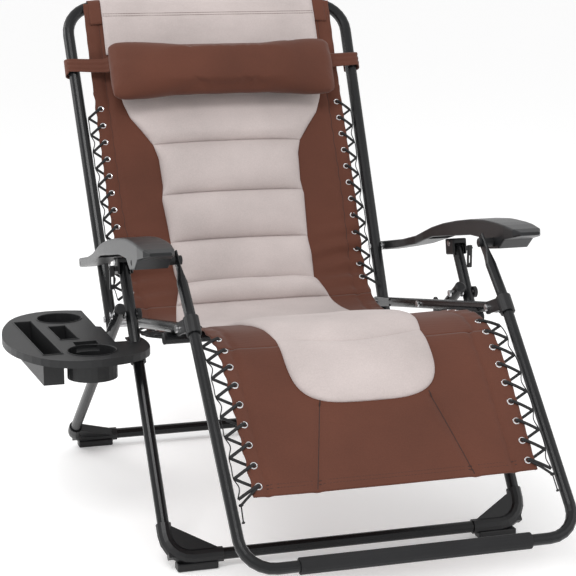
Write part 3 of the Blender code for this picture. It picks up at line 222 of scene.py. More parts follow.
def moulded(name, colour, roughness, grain_scale, grain_depth):
    """Moulded plastic with a pebbled grain."""
    material, nodes, links, shader = new_material(name, colour, roughness)
    shader.inputs["Specular IOR Level"].default_value = 0.38
    cloud = noise_node(nodes, links, 14.0, 5.0)
    ramp = colour_ramp(nodes, links, cloud.outputs["Fac"], scaled(colour, 0.8), scaled(colour, 1.25))
    links.new(ramp.outputs["Color"], shader.inputs["Base Color"])
    place = nodes.new("ShaderNodeTexCoord")
    cells = nodes.new("ShaderNodeTexVoronoi")
    cells.inputs["Scale"].default_value = grain_scale
    links.new(place.outputs["Object"], cells.inputs["Vector"])
    add_bump(nodes, links, shader, cells.outputs["Distance"], 0.4, grain_depth)
    return material


def woven(name, colour, sheen, weave_scale=900.0):
    """Woven polyester: crossed threads, faint colour variation and soft sheen."""
    material, nodes, links, shader = new_material(name, colour, 0.78)
    shader.inputs["Sheen Weight"].default_value = sheen
    shader.inputs["Sheen Roughness"].default_value = 0.45
    shader.inputs["Specular IOR Level"].default_value = 0.25
    cloud = noise_node(nodes, links, 7.0, 5.0)
    fleck = noise_node(nodes, links, 420.0, 2.0)
    mixed = nodes.new("ShaderNodeMath")
    mixed.operation = "MULTIPLY_ADD"
    mixed.inputs[1].default_value = 0.45
    links.new(fleck.outputs["Fac"], mixed.inputs[0])
    links.new(cloud.outputs["Fac"], mixed.inputs[2])
    tones = (scaled(colour, 0.86), scaled(colour, 1.14))
    ramp = colour_ramp(nodes, links, mixed.outputs[0], *tones, 0.45, 1.0)
    links.new(ramp.outputs["Color"], shader.inputs["Base Color"])
    place = nodes.new("ShaderNodeTexCoord")
    threads = []
    for direction in ("X", "Z"):
        wave = nodes.new("ShaderNodeTexWave")
        wave.wave_type = "BANDS"
        wave.bands_direction = direction
        wave.inputs["Scale"].default_value = weave_scale / (2 * math.pi)
        wave.inputs["Distortion"].default_value = 0.6
        links.new(place.outputs["Object"], wave.inputs["Vector"])
        threads.append(wave)
    crossed = nodes.new("ShaderNodeMath")
    crossed.operation = "MULTIPLY"
    links.new(threads[0].outputs["Fac"], crossed.inputs[0])
    links.new(threads[1].outputs["Fac"], crossed.inputs[1])
    crease = noise_node(nodes, links, 26.0, 3.0)
    height = nodes.new("ShaderNodeMath")
    height.operation = "MULTIPLY_ADD"
    height.inputs[1].default_value = 0.25
    links.new(crossed.outputs[0], height.inputs[0])
    links.new(crease.outputs["Fac"], height.inputs[2])
    add_bump(nodes, links, shader, height.outputs[0], 0.35, 0.0016)
    return material


def brushed(name, colour, roughness):
    """Plated steel with fine marks."""
    material, nodes, links, shader = new_material(name, colour, roughness, 1.0)
    marks = noise_node(nodes, links, 260.0, 3.0)
    ramp = colour_ramp(nodes, links, marks.outputs["Fac"], scaled(colour, 0.8), scaled(colour, 1.1))
    links.new(ramp.outputs["Color"], shader.inputs["Base Color"])
    add_bump(nodes, links, shader, marks.outputs["Fac"], 0.15, 0.0003)
    return material


def braided(name, colour):
    """Elastic cord with a braided cover."""
    material, nodes, links, shader = new_material(name, colour, 0.7)
    place = nodes.new("ShaderNodeTexCoord")
    cells = nodes.new("ShaderNodeTexVoronoi")
    cells.inputs["Scale"].default_value = 900.0
    links.new(place.outputs["Object"], cells.inputs["Vector"])
    ramp = colour_ramp(nodes, links, cells.outputs["Distance"], scaled(colour, 2.2), colour, 0.1, 0.6)
    links.new(ramp.outputs["Color"], shader.inputs["Base Color"])
    add_bump(nodes, links, shader, cells.outputs["Distance"], 0.6, 0.0005)
    return material


BROWN = (0.102, 0.0335, 0.0195)
BEIGE = (0.492, 0.430, 0.416)
MATERIALS = {
    "base_paint": painted("charcoal_powder_coat", (0.0080, 0.0084, 0.0092), 0.26),
    "boot_plastic": moulded("black_moulded_plastic", (0.0070, 0.0070, 0.0078), 0.40, 700.0, 0.0003),
    "fastener_steel": brushed("plated_steel", (0.62, 0.62, 0.63), 0.28),
    "armrest_plastic": moulded("dark_grey_plastic", (0.0100, 0.0105, 0.0115), 0.34, 900.0, 0.0002),
    "sling_fabric": woven("brown_polyester", BROWN, 0.12),
    "pad_fabric": woven("beige_polyester", BEIGE, 0.10),
    "foam_sleeve": moulded("black_foam", (0.0080, 0.0080, 0.0090), 0.74, 1400.0, 0.0004),
    "elastic_cord": braided("black_elastic", (0.0050, 0.0050, 0.0056)),
    "tray_plastic": moulded("grained_grey_plastic", (0.0095, 0.0098, 0.0105), 0.46, 420.0, 0.0005),
}
BRIGHT_METAL = brushed("eyelet_metal", (0.78, 0.78, 0.79), 0.2)
# Very dark brown: the thread colour of the stitch rows, and painted shade of the seam grooves where the facing and
# dart seam lines use it.
BROWN_THREAD_AND_GROOVE_SHADE = braided("brown_thread_and_groove_shade", (0.016, 0.0055, 0.0036))
# Dark beige: the thread colour of the band stitches, and painted shade of the deep quilt seams where the quilt's
# seam lines use it.
BEIGE_THREAD_AND_SEAM_SHADE = braided("beige_thread_and_seam_shade", (0.17, 0.132, 0.120))


def dress_cad_nodes():
    """Gives every CAD node its slot's material and soft shading with crisp edges."""
    for part in frame["record"]["subparts"]:
        node = frame["nodes"][part["node"]]
        node.data.materials.clear()
        node.data.materials.append(MATERIALS[part["material_slot"]])
        node.data.shade_smooth()
        node.data.set_sharp_from_angle(angle=math.radians(38))


# ---------------------------------------------------------------- mesh helpers


def mesh_object(name, vertices, faces, material, smooth=True):
    mesh = bpy.data.meshes.new(name)
    mesh.from_pydata([tuple(v) for v in vertices], [], faces)
    mesh.materials.append(material)
    if smooth:
        mesh.shade_smooth()
    mesh.validate()
    thing = bpy.data.objects.new(name, mesh)
    bpy.context.scene.collection.objects.link(thing)
    return thing


def bmesh_object(name, data, material):
    mesh = bpy.data.meshes.new(name)
    bmesh.ops.recalc_face_normals(data, faces=data.faces)
    data.to_mesh(mesh)
    data.free()
    mesh.materials.append(material)
    mesh.shade_smooth()
    mesh.set_sharp_from_angle(angle=math.radians(45))
    thing = bpy.data.objects.new(name, mesh)
    bpy.context.scene.collection.objects.link(thing)
    return thing


def tube_into(data, path, radius, sides=10, closed=False):
    """Adds a round tube along a path to a bmesh."""
    rings = []
    count = len(path)
    previous = None
    for index, point in enumerate(path):
        ahead = path[(index + 1) % count] if closed or index + 1 < count else point
        behind = path[index - 1] if closed or index else point
        tangent = (ahead - behind).normalized()
        if previous is None:
            axis = tangent.orthogonal().normalized()
        else:
            axis = (previous - tangent * previous.dot(tangent)).normalized()
        previous = axis
        other = tangent.cross(axis)
        ring = []
        for side in range(sides):
            angle = 2 * math.pi * side / sides
            offset = axis * (math.cos(angle) * radius) + other * (math.sin(angle) * radius)
            ring.append(data.verts.new(point + offset))
        rings.append(ring)
    pairs = list(zip(rings, rings[1:]))
    if closed:
        pairs.append((rings[-1], rings[0]))
    for low, high in pairs:
        for side in range(sides):
            after = (side + 1) % sides
            data.faces.new((low[side], low[after], high[after], high[side]))
    if not closed:
        data.faces.new(rings[0])
        data.faces.new(rings[-1])


def smooth_curve(points, per_span=6):
    """A Catmull-Rom curve through points."""
    ends = [points[0] * 2 - points[1]] + list(points) + [points[-1] * 2 - points[-2]]
    curve = []
    for index in range(1, len(ends) - 2):
        p0, p1, p2, p3 = ends[index - 1 : index + 3]
        for step in range(per_span):
            t = step / per_span
            value = p1 * 2 + (p2 - p0) * t
            value += (p0 * 2 - p1 * 5 + p2 * 4 - p3) * t**2
            value += (p1 * 3 - p0 - p2 * 3 + p3) * t**3
            curve.append(value / 2)
    curve.append(points[-1])
    return curve


# ---------------------------------------------------------------- the sling's side view


def sling_line():
    """The middle line of the fabric in the side view, from the top bar to the leg rest's hem."""
    keys = [back_point(0.7165, 0.0150), back_point(0.690, 0.0130), back_point(0.60, 0.007)]
    keys += [back_point(0.45, 0.002), back_point(0.30, -0.001), back_point(0.16, -0.001)]
    keys += [back_point(0.085, 0.001), rail_point(0.600, 0.030), rail_point(0.562, 0.002)]
    keys += [rail_point(0.50, -0.016), rail_point(0.42, -0.026), rail_point(0.31, -0.024)]
    keys += [rail_point(0.20, -0.014), rail_point(0.124, -0.0065), rail_point(0.083, -0.0055)]
    keys += [rail_point(0.037, -0.0065), rail_point(-0.012, -0.0140), rest_point(0.068, -0.0130)]
    keys += [rest_point(0.104, -0.0035), rest_point(0.16, 0.0020), rest_point(0.27, 0.003)]
    keys += [rest_point(0.360, 0.002)]
    return smooth_curve(keys, 14)


LINE = sling_line()
LINE_YZ = np.array([(p.y, p.z) for p in LINE])
LINE_S = np.concatenate(([0.0], np.cumsum(np.linalg.norm(np.diff(LINE_YZ, axis=0), axis=1))))
LENGTH = float(LINE_S[-1])
_tangent = np.gradient(LINE_YZ, LINE_S, axis=0)
_tangent /= np.linalg.norm(_tangent, axis=1)[:, None]
NORMAL_YZ = np.stack([_tangent[:, 1], -_tangent[:, 0]], axis=1)


def station(point):
    """Distance along the sling of the place nearest a point."""
    gap = np.linalg.norm(LINE_YZ - np.array((point.y, point.z)), axis=1)
    return float(LINE_S[int(np.argmin(gap))])


S_HIP = station(rail_point(0.590, 0.018))
S_MID = station(rail_point(0.31, -0.024))
S_SEAM = station(rest_point(SEAM_REST))
S_PAD_TOP = station(back_point(0.478))
S_BACK_END = station(back_point(0.10))
S_SEAT_START = station(rail_point(0.50))
S_KNEE = station(rail_point(0.05))


def on_sling(s, x, lift=0.0):
    """A point of the sling's surface: s along it, x across it, lift square to it."""
    y = np.interp(s, LINE_S, LINE_YZ[:, 0])
    z = np.interp(s, LINE_S, LINE_YZ[:, 1])
    ny = np.interp(s, LINE_S, NORMAL_YZ[:, 0])
    nz = np.interp(s, LINE_S, NORMAL_YZ[:, 1])
    return Vector((MIDDLE + x, y + ny * lift, z + nz * lift))


def half_width(s):
    """Half the width of the sling, with the edge pulled out a little at each eyelet."""
    places = [0.0, S_BACK_END - 0.15, S_BACK_END, S_HIP, S_SEAT_START, S_KNEE, S_SEAM, LENGTH]
    widths = [0.283, BACK_HALF, 0.272, 0.264, SEAT_HALF, SEAT_HALF - 0.001, LEG_HALF, LEG_HALF - 0.003]
    base = float(np.interp(s, places, widths))
    first = station(back_point(FIRST_EYELET))
    if s > first - EYELET_PITCH:
        base += 0.0010 * math.cos(2 * math.pi * (s - first) / EYELET_PITCH)
    return base


SEAM_PULL = 0.0034


def seam_dip(distance, width=0.006):
    """How much a stitched line pulls the fabric down, at a distance from it."""
    return -SEAM_PULL * math.exp(-((distance / width) ** 2))


def hem_inset(s, sign):
    """How far in from the edge the edge facing's stitched line runs."""
    if s < S_SEAM:
        return 0.030
    return 0.042 if sign > 0 else 0.026


def dart_x(s, sign):
    """The two slanting panel seams of the leg rest, from the pad's corners to the hem."""
    start = station(rest_point(0.190))
    t = (s - start) / (LENGTH - start)
    return sign * (0.100 + 0.042 * t)


def cloth_lift(s, x):
    """Height of the brown fabric over the sling's middle line: sag, seams and soft wrinkles."""
    half = half_width(s)
    across = min(abs(x) / half, 1.0)
    sag = -0.004 * (1 - across**2)
    sign = 1 if x > 0 else -1
    lift = sag + seam_dip(abs(x) - (half - hem_inset(s, sign)))
    if s > station(rest_point(0.195)):
        lift += seam_dip(x - dart_x(s, sign), 0.007)
    ripple = noise.noise(Vector((x * 9.0, s * 6.0, 3.1)))
    lift += 0.0016 * ripple
    low_back = math.exp(-(((s - S_BACK_END) / 0.075) ** 2)) * max(0.0, (across - 0.45) / 0.55)
    folds = math.sin(s * 150 + 2.4 * noise.noise(Vector((x * 9.0, s * 7.0, 0.0))) + x * 10.0)
    lift += 0.0060 * low_back * folds
    edge = max(0.0, (across - 0.90) / 0.10)
    first = station(back_point(FIRST_EYELET))
    lift -= 0.0012 * edge * math.cos(2 * math.pi * (s - first) / EYELET_PITCH)
    return lift


def cloth_grid(name, s_start, s_end, step=0.0045, thickness=0.0018):
    """A stretch of the brown sling as a thin solid sheet."""
    rows = max(2, int((s_end - s_start) / step))
    columns = 128
    vertices = []
    for row in range(rows + 1):
        s = s_start + (s_end - s_start) * row / rows
        half = half_width(s)
        for column in range(columns + 1):
            u = -1 + 2 * column / columns
            x = half * u
            vertices.append(on_sling(s, x, cloth_lift(s, x)))
    faces = grid_faces(rows, columns)
    cloth = mesh_object(name, vertices, faces, MATERIALS["sling_fabric"])
    solid = cloth.modifiers.new("thickness", "SOLIDIFY")
    solid.thickness = thickness
    solid.offset = -1.0
    return cloth


def grid_faces(rows, columns):
    faces = []
    wide = columns + 1
    for row in range(rows):
        for column in range(columns):
            corner = row * wide + column
            faces.append((corner, corner + 1, corner + 1 + wide, corner + wide))
    return faces


# ---------------------------------------------------------------- quilted pad

LEG_PAD_LENGTH = 0.131
CHANNEL_SEAMS = (0.505, 0.390, 0.272, 0.163, 0.056)


def pad_half(s):
    """Half the width of the padded centre: waisted on the back and wider on the seat."""
    table = [
        (station(back_point(0.505)), 0.229),
        (S_PAD_TOP, 0.224),
        (station(back_point(0.455)), 0.212),
        (station(back_point(0.420)), 0.188),
        (station(back_point(0.390)), 0.166),
        (station(back_point(0.350)), 0.157),
        (station(back_point(0.290)), 0.154),
        (station(back_point(0.262)), 0.159),
        (station(back_point(0.215)), 0.1555),
        (station(back_point(0.163)), 0.1525),
        (station(back_point(0.110)), 0.155),
        (station(back_point(0.056)), 0.150),
        (S_HIP, 0.168),
        (S_SEAT_START, 0.190),
        (S_MID, 0.185),
        (S_KNEE, 0.152),
        (S_SEAM, 0.135),
    ]
    return float(np.interp(s, [row[0] for row in table], [row[1] for row in table]))


def crown(t, power=0.5):
    """Cross-section of a stuffed channel: 0 at its seams and 1 in its middle."""
    t = min(max(t, 0.0), 1.0)
    return (4 * t * (1 - t)) ** power


# The quilt is pressed flatter where the pillow can slide over it
UNDER_PILLOW = tuple(station(back_point(along)) for along in (0.49, 0.445, 0.405))


def pad_surface(name, seams, height, half_of, curve_end=None, lean=None, side_power=0.42, columns=88):
    """A stuffed panel on the sling, sewn down across its seams and round its outline."""
    step = 0.0036
    stations = []
    for low, high in zip(seams, seams[1:]):
        count = max(4, int((high - low) / step))
        for index in range(count):
            t = index / count
            t = t - math.sin(2 * math.pi * t) / (2 * math.pi) * 0.75
            stations.append((low + (high - low) * t, t, low, high))
    stations.append((seams[-1], 1.0, seams[-2], seams[-1]))
    vertices = []
    for s, t, low, high in stations:
        half = half_of(s)
        for column in range(columns + 1):
            u = -1 + 2 * column / columns
            u = math.sin(u * math.pi / 2)
            x = half * u
            place = s
            if curve_end is not None:
                place = curve_end(s, u)
            else:
                place = s - SEAM_BOW * (1 - u * u)
            if lean is not None:
                x += lean(s)
            rise = height * crown(t, 0.5) * (max(0.0, 1 - abs(u) ** 5)) ** side_power
            rise *= float(np.interp(place, UNDER_PILLOW, (0.30, 0.55, 1.0)))
            pleat = noise.noise(Vector((x * 46.0, low * 31.0 + t * 1.5, 7.7)))
            near = math.exp(-((min(t, 1 - t) * (high - low) / 0.016) ** 2))
            rise += 0.0016 * pleat * near * crown(t, 0.3)
            dimple = noise.noise(Vector((x * 13.0, place * 13.0, 1.3)))
            rise += 0.0018 * dimple * crown(t) * crown((u + 1) / 2)
            vertices.append(on_sling(place, x, cloth_lift(place, x) + PAD_GAP + rise))
    faces = grid_faces(len(stations) - 1, columns)
    pad = mesh_object(name, vertices, faces, MATERIALS["pad_fabric"])
    solid = pad.modifiers.new("thickness", "SOLIDIFY")
    solid.thickness = 0.0010
    solid.offset = -1.0
    return pad


def quilt_lean(s):
    """The quilt sits a little to one side near its top."""
    top, middle = station(back_point(0.50)), station(back_point(0.25))
    return BACK_QUILT_SHIFT * float(np.interp(s, [top, middle], [1.0, 0.0]))


def arched_seam(s, u):
    """Bows the front end of the seat pad so that its seam sags forward in the middle."""
    t = min(max((s - (S_SEAM - 0.10)) / 0.10, 0.0), 1.0)
    return s + t * t * 0.022 * (1 - u * u) - t * t * 0.020


def arched_start(s, u):
    """Bows the top of the leg pad to match."""
    end = S_SEAM + LEG_PAD_LENGTH
    t = min(max((end - s) / 0.10, 0.0), 1.0)
    return s + t * t * (0.022 * (1 - u * u) - 0.020)


def leg_pad_half(s):
    """The leg pad's outline: straight sides that run into a wide round bottom."""
    start = S_SEAM + 0.033
    t = min(max((s - start) / (S_SEAM + LEG_PAD_LENGTH - start), 0.0), 0.9995)
    return LEG_QUILT_HALF * (1 - t**LEG_QUILT_ROUNDNESS) ** (1 / LEG_QUILT_ROUNDNESS)


def leg_pad_lean(s):
    """The leg pad sits a little to the sitter's right, by the same amount all along."""
    return LEG_QUILT_SHIFT


def seat_pad_lean(s):
    """The seat pad shifts over to meet the leg pad."""
    return LEG_QUILT_SHIFT * float(np.interp(s, [S_MID, S_SEAM], [0.0, 1.0]))


def make_sling():
    pieces = {}
    pieces["back_cloth"] = cloth_grid("back_cloth", 0.0, S_HIP)
    pieces["seat_cloth_rear"] = cloth_grid("seat_cloth_rear", S_HIP, S_MID)
    pieces["seat_cloth_front"] = cloth_grid("seat_cloth_front", S_MID, S_SEAM)
    pieces["leg_cloth"] = cloth_grid("leg_cloth", S_SEAM, LENGTH)
    seams = [station(back_point(v)) for v in CHANNEL_SEAMS] + [S_HIP]
    pieces["back_quilt"] = pad_surface("back_quilt", seams, BACK_QUILT_HEIGHT, pad_half, lean=quilt_lean)
    rear = [S_HIP, S_MID]
    pieces["seat_quilt_rear"] = pad_surface("seat_quilt_rear", rear, SEAT_REAR_HEIGHT, pad_half)
    front = [S_MID, S_SEAM]
    pieces["seat_quilt_front"] = pad_surface(
        "seat_quilt_front", front, SEAT_FRONT_HEIGHT, pad_half, arched_seam, seat_pad_lean
    )
    pieces["leg_quilt"] = pad_surface(
        "leg_quilt",
        [S_SEAM, S_SEAM + LEG_PAD_LENGTH],
        LEG_QUILT_HEIGHT,
        leg_pad_half,
        curve_end=arched_start,
        lean=leg_pad_lean,
    )
    return pieces


# ---------------------------------------------------------------- seams and bands


def seam_line(name, points, material, radius=0.0010):
    """A sewn line that lies on the surface; its dark colour is painted shade of the seam's groove."""
    data = bmesh.new()
    tube_into(data, points, radius, 6)
    return bmesh_object(name, data, material)


def stitch_row(name, points, material, length=0.0042, gap=0.0016, radius=0.00075):
    """Short separate stitches along a line."""
    data = bmesh.new()
    total = 0.0
    nxt = 0.0
    for before, after in zip(points, points[1:]):
        span = (after - before).length
        while nxt < total + span and span > 1e-6:
            start = before + (after - before) * ((nxt - total) / span)
            direction = (after - before).normalized()
            tube_into(data, [start, start + direction * length], radius, 5)
            nxt += length + gap
        total += span
    return bmesh_object(name, data, material)


def surface_path(function, start, end, step=0.006, lift=0.0012):
    """Points on the brown cloth where x = function(s)."""
    count = max(2, int(abs(end - start) / step))
    points = []
    for index in range(count + 1):
        s = start + (end - start) * index / count
        x = function(s)
        points.append(on_sling(s, x, cloth_lift(s, x) + lift))
    return points


def across_path(s, x_start, x_end, lift=0.0012, step=0.01):
    count = max(2, int(abs(x_end - x_start) / step))
    xs = [x_start + (x_end - x_start) * index / count for index in range(count + 1)]
    return [on_sling(s, x, cloth_lift(s, x) + lift) for x in xs]


def make_seams():
    """Edge facings, panel seams and hem stitching, listed with the body each follows."""
    made = []
    for sign, side in ((1, "left"), (-1, "right")):
        def inner(s, sign=sign):
            return sign * (half_width(s) - hem_inset(s, sign))

        def outer(s, sign=sign):
            return sign * (half_width(s) - EDGE_STITCH_INSET)

        stretches = (
            ("back", 0.02, S_BACK_END, "back"),
            ("seat", S_SEAT_START, S_KNEE, "seat"),
            ("leg", S_SEAM + 0.05, LENGTH - 0.003, "leg_rest"),
        )
        for part, start, end, body in stretches:
            line = surface_path(inner, start, end)
            # The facing's seam line is drawn dark as painted shade of its groove.
            made.append((seam_line(f"{part}_facing_{side}", line, BROWN_THREAD_AND_GROOVE_SHADE), body))
            rows = surface_path(outer, start, end)
            made.append((stitch_row(f"{part}_edge_stitches_{side}", rows, BROWN_THREAD_AND_GROOVE_SHADE), body))
        start = station(rest_point(0.192))

        def dart(s, sign=sign):
            return dart_x(s, sign)

        line = surface_path(dart, start, LENGTH - 0.006)
        # The dart's seam line is drawn dark as painted shade of its groove.
        made.append((seam_line(f"leg_dart_{side}", line, BROWN_THREAD_AND_GROOVE_SHADE, 0.0012), "leg_rest"))
    for number, inset in enumerate(HEM_ROWS):
        s = LENGTH - inset
        half = half_width(s) - 0.004
        row = across_path(s, -half, half)
        made.append((stitch_row(f"hem_stitches_{number}", row, BROWN_THREAD_AND_GROOVE_SHADE), "leg_rest"))
    return made


def make_quilt_seams():
    """The sewn lines between the channels of the back quilt, coloured dark as painted shade of the deep seams."""
    made = []
    for number, along in enumerate(CHANNEL_SEAMS[1:]):
        s = station(back_point(along))
        half = pad_half(s) - 0.002
        points = []
        for step in range(41):
            u = -1 + step / 20
            x = half * u + quilt_lean(s)
            place = s - SEAM_BOW * (1 - u * u)
            points.append(on_sling(place, x, cloth_lift(place, x) + PAD_GAP + 0.0008))
        # Dark line: painted shade of the deep seam between two channels.
        made.append(seam_line(f"quilt_seam_{number}", points, BEIGE_THREAD_AND_SEAM_SHADE, 0.0011))
    return made


def make_top_band():
    """The pale band at the top of the back, its sleeve over the top bar and its double stitching."""
    bar_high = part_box("back_frame")[1]
    bar = back_point((bar_high.z - BACK_TUBE_RADIUS - HIP.z) / BACK_UP.z)
    made = []
    spans = (
        ("top_band", -BAND_HALF, BAND_HALF, "pad_fabric"),
        ("top_end_left", 0.2450, 0.272, "sling_fabric"),
        ("top_end_right", -0.272, -0.2450, "sling_fabric"),
    )
    for name, x_low, x_high, slot in spans:
        vertices = []
        columns = 40 if slot == "pad_fabric" else 6
        profile = []
        for step in range(15):
            angle = math.radians(200 - 200 * step / 14)
            out = BACK_FACE * (math.cos(angle) * BAND_RADIUS)
            rise = BACK_UP * (math.sin(angle) * BAND_RADIUS)
            profile.append(bar + out + rise)
        rows = 9 if slot == "sling_fabric" else 21
        for k in range(1, rows):
            out = BAND_RADIUS - 0.0004 * max(0, k - 6)
            profile.append(bar + BACK_FACE * out - BACK_UP * (0.006 * k))
        for row, place in enumerate(profile):
            for column in range(columns + 1):
                x = x_low + (x_high - x_low) * column / columns
                ripple = 0.0007 * noise.noise(Vector((x * 30.0, row * 0.4, 2.0)))
                drop = max(0.0, abs(x) - 0.250) * 0.10
                vertices.append(place + LATERAL * x + BACK_FACE * ripple - BACK_UP * drop)
        band = mesh_object(name, vertices, grid_faces(len(profile) - 1, columns), MATERIALS[slot])
        solid = band.modifiers.new("thickness", "SOLIDIFY")
        solid.thickness = 0.0011
        solid.offset = 0.0
        made.append(band)
    for number, drop in enumerate(BAND_ROWS):
        start = bar + BACK_FACE * (BAND_RADIUS + 0.0006) - BACK_UP * drop
        row = [start + LATERAL * (-0.243 + 0.0081 * k) for k in range(61)]
        made.append(stitch_row(f"band_stitches_{number}", row, BEIGE_THREAD_AND_SEAM_SHADE))
    return made


# ---------------------------------------------------------------- eyelets and lacing


def ring_into(data, centre, normal, across, radius, wire, steps=20, sides=8):
    """Adds a metal eyelet ring that lies flat on the cloth."""
    other = normal.cross(across).normalized()
    path = []
    for step in range(steps):
        angle = 2 * math.pi * step / steps
        path.append(centre + across * (math.cos(angle) * radius) + other * (math.sin(angle) * radius))
    tube_into(data, path, wire, sides, closed=True)


def normal_at(s):
    ny = float(np.interp(s, LINE_S, NORMAL_YZ[:, 0]))
    nz = float(np.interp(s, LINE_S, NORMAL_YZ[:, 1]))
    return Vector((0.0, ny, nz)).normalized()


def eyelet_rows():
    """Stations of the eyelets on the back, the seat and the leg rest."""
    first = station(back_point(FIRST_EYELET))
    back = [first + EYELET_PITCH * k for k in range(12)]
    seat_first = S_SEAT_START + 0.012
    seat = [seat_first + EYELET_PITCH * k for k in range(int((S_KNEE - seat_first) / EYELET_PITCH) + 1)]
    last = station(rest_point(LAST_EYELET))
    leg = [last - EYELET_PITCH * k for k in range(9)][::-1]
    return (("back", back, "back"), ("seat", seat, "seat"), ("leg", leg, "leg_rest"))


def tube_x(part, s):
    """Inner face of the tube beside the sling."""
    if part == "back":
        along = (on_sling(s, 0.0) - back_point(0.0)).dot(BACK_UP)
        return back_half_at(along) - BACK_TUBE_RADIUS
    return TUBE_REST_HALF - 0.010


def make_lacing():
    made = []
    for part, stations, body in eyelet_rows():
        for sign, side in ((1, "left"), (-1, "right")):
            rings = bmesh.new()
            holes = []
            for s in stations:
                x = sign * (half_width(s) - EYELET_INSET)
                centre = on_sling(s, x, cloth_lift(s, x) + 0.0010)
                ring_into(rings, centre, normal_at(s), LATERAL, EYELET_RADIUS, EYELET_WIRE)
                holes.append((s, centre))
            eyelets = bmesh_object(f"{part}_eyelets_{side}", rings, BRIGHT_METAL)
            made.append((eyelets, body, None))
            cord = bmesh.new()
            thin = bmesh.new()
            anchors = []
            for index, (s, centre) in enumerate(holes):
                tube = sign * (tube_x(part, s) - 0.0045)
                anchor = on_sling(s + EYELET_PITCH * 0.52, tube, 0.0)
                anchors.append(anchor)
                normal = normal_at(s)
                outward = LATERAL * sign
                start = centre - normal * 0.0045
                over = centre + normal * 0.0026 + outward * 0.003
                halfway = (over + anchor) / 2 + normal * 0.001
                path = smooth_curve([start, centre + normal * 0.0022, over, halfway, anchor], 4)
                tube_into(cord, path, CORD_RADIUS, 8)
                if index + 1 < len(holes):
                    target = holes[index + 1][1] - normal * 0.0060
                    middle = anchor * 0.45 + target * 0.55 - normal * 0.001
                    back_path = smooth_curve([anchor - normal * 0.001, middle, target], 4)
                    tube_into(cord, back_path, RETURN_RADIUS, 8)
            lacing = bmesh_object(f"{part}_bungee_{side}", cord, MATERIALS["elastic_cord"])
            node = f"{part}_lacing_{side}"
            made.append((lacing, body, node if node in frame["nodes"] else None))
            weave = []
            for index, anchor in enumerate(anchors):
                weave.append(anchor + LATERAL * (sign * 0.0012))
                if index + 1 < len(anchors):
                    side_step = -0.0045 if index % 2 else 0.0015
                    bow = (anchor + anchors[index + 1]) / 2 + LATERAL * (sign * side_step)
                    weave.append(bow + normal_at(stations[index]) * 0.002)
            tube_into(thin, smooth_curve(weave, 5), KEEPER_RADIUS, 6)
            keeper = bmesh_object(f"{part}_keeper_cord_{side}", thin, MATERIALS["elastic_cord"])
            made.append((keeper, body, None))
    return made


def make_tails():
    """The knotted lower ends of the leg rest's lacing."""
    made = []
    for sign, side in ((1, "left"), (-1, "right")):
        data = bmesh.new()
        last = station(rest_point(LAST_EYELET))
        x = sign * (half_width(last) - EYELET_INSET)
        start = on_sling(last, x, cloth_lift(last, x) + 0.002)
        knot = rest_point(0.372, 0.004) + LATERAL * (sign * (TUBE_REST_HALF - 0.016))
        tail = rest_point(0.402, 0.001) + LATERAL * (sign * (TUBE_REST_HALF - 0.0145))
        bend = (start + knot) / 2 + REST_FACE * 0.002
        tube_into(data, smooth_curve([start, bend, knot], 5), 0.0023, 8)
        tube_into(data, smooth_curve([knot, (knot + tail) / 2, tail], 4), 0.0012, 6)
        ring_into(data, knot, REST_DOWN, LATERAL, 0.0026, 0.0018, 12, 6)
        ring_into(data, tail, REST_DOWN, LATERAL, 0.0018, 0.0014, 12, 6)
        tails = bmesh_object(f"lacing_tail_{side}", data, MATERIALS["elastic_cord"])
        made.append((tails, "leg_rest"))
    return made


# ---------------------------------------------------------------- pillow


def rounded_pillow(low, high):
    """A closed bolster shape, slightly smaller than the space it fills."""
    centre = (low + high) / 2
    length = (high.x - low.x) / 2 - 0.003
    sections = []
    for step in range(41):
        place = -1 + step / 20
        swell = max(0.0, 1 - abs(place) ** 9) ** 0.5
        size = 0.35 + 0.65 * swell
        sections.append((place * length, size))
    vertices = []
    around = 36
    for x, size in sections:
        for step in range(around):
            angle = 2 * math.pi * step / around
            rise = math.copysign(abs(math.cos(angle)) ** PILLOW_ROUNDNESS, math.cos(angle))
            bulge = math.copysign(abs(math.sin(angle)) ** PILLOW_ROUNDNESS, math.sin(angle))
            up = rise * PILLOW_HALF_HEIGHT * (0.72 + 0.28 * size)
            out = bulge * PILLOW_HALF_DEPTH * size
            vertices.append(centre + LATERAL * x + BACK_UP * up + BACK_FACE * out)
    faces = []
    for row in range(len(sections) - 1):
        for step in range(around):
            after = (step + 1) % around
            base = row * around
            faces.append((base + step, base + after, base + around + after, base + around + step))
    faces.append(tuple(range(around))[::-1])
    faces.append(tuple(range((len(sections) - 1) * around, len(sections) * around)))
    return vertices, faces, centre


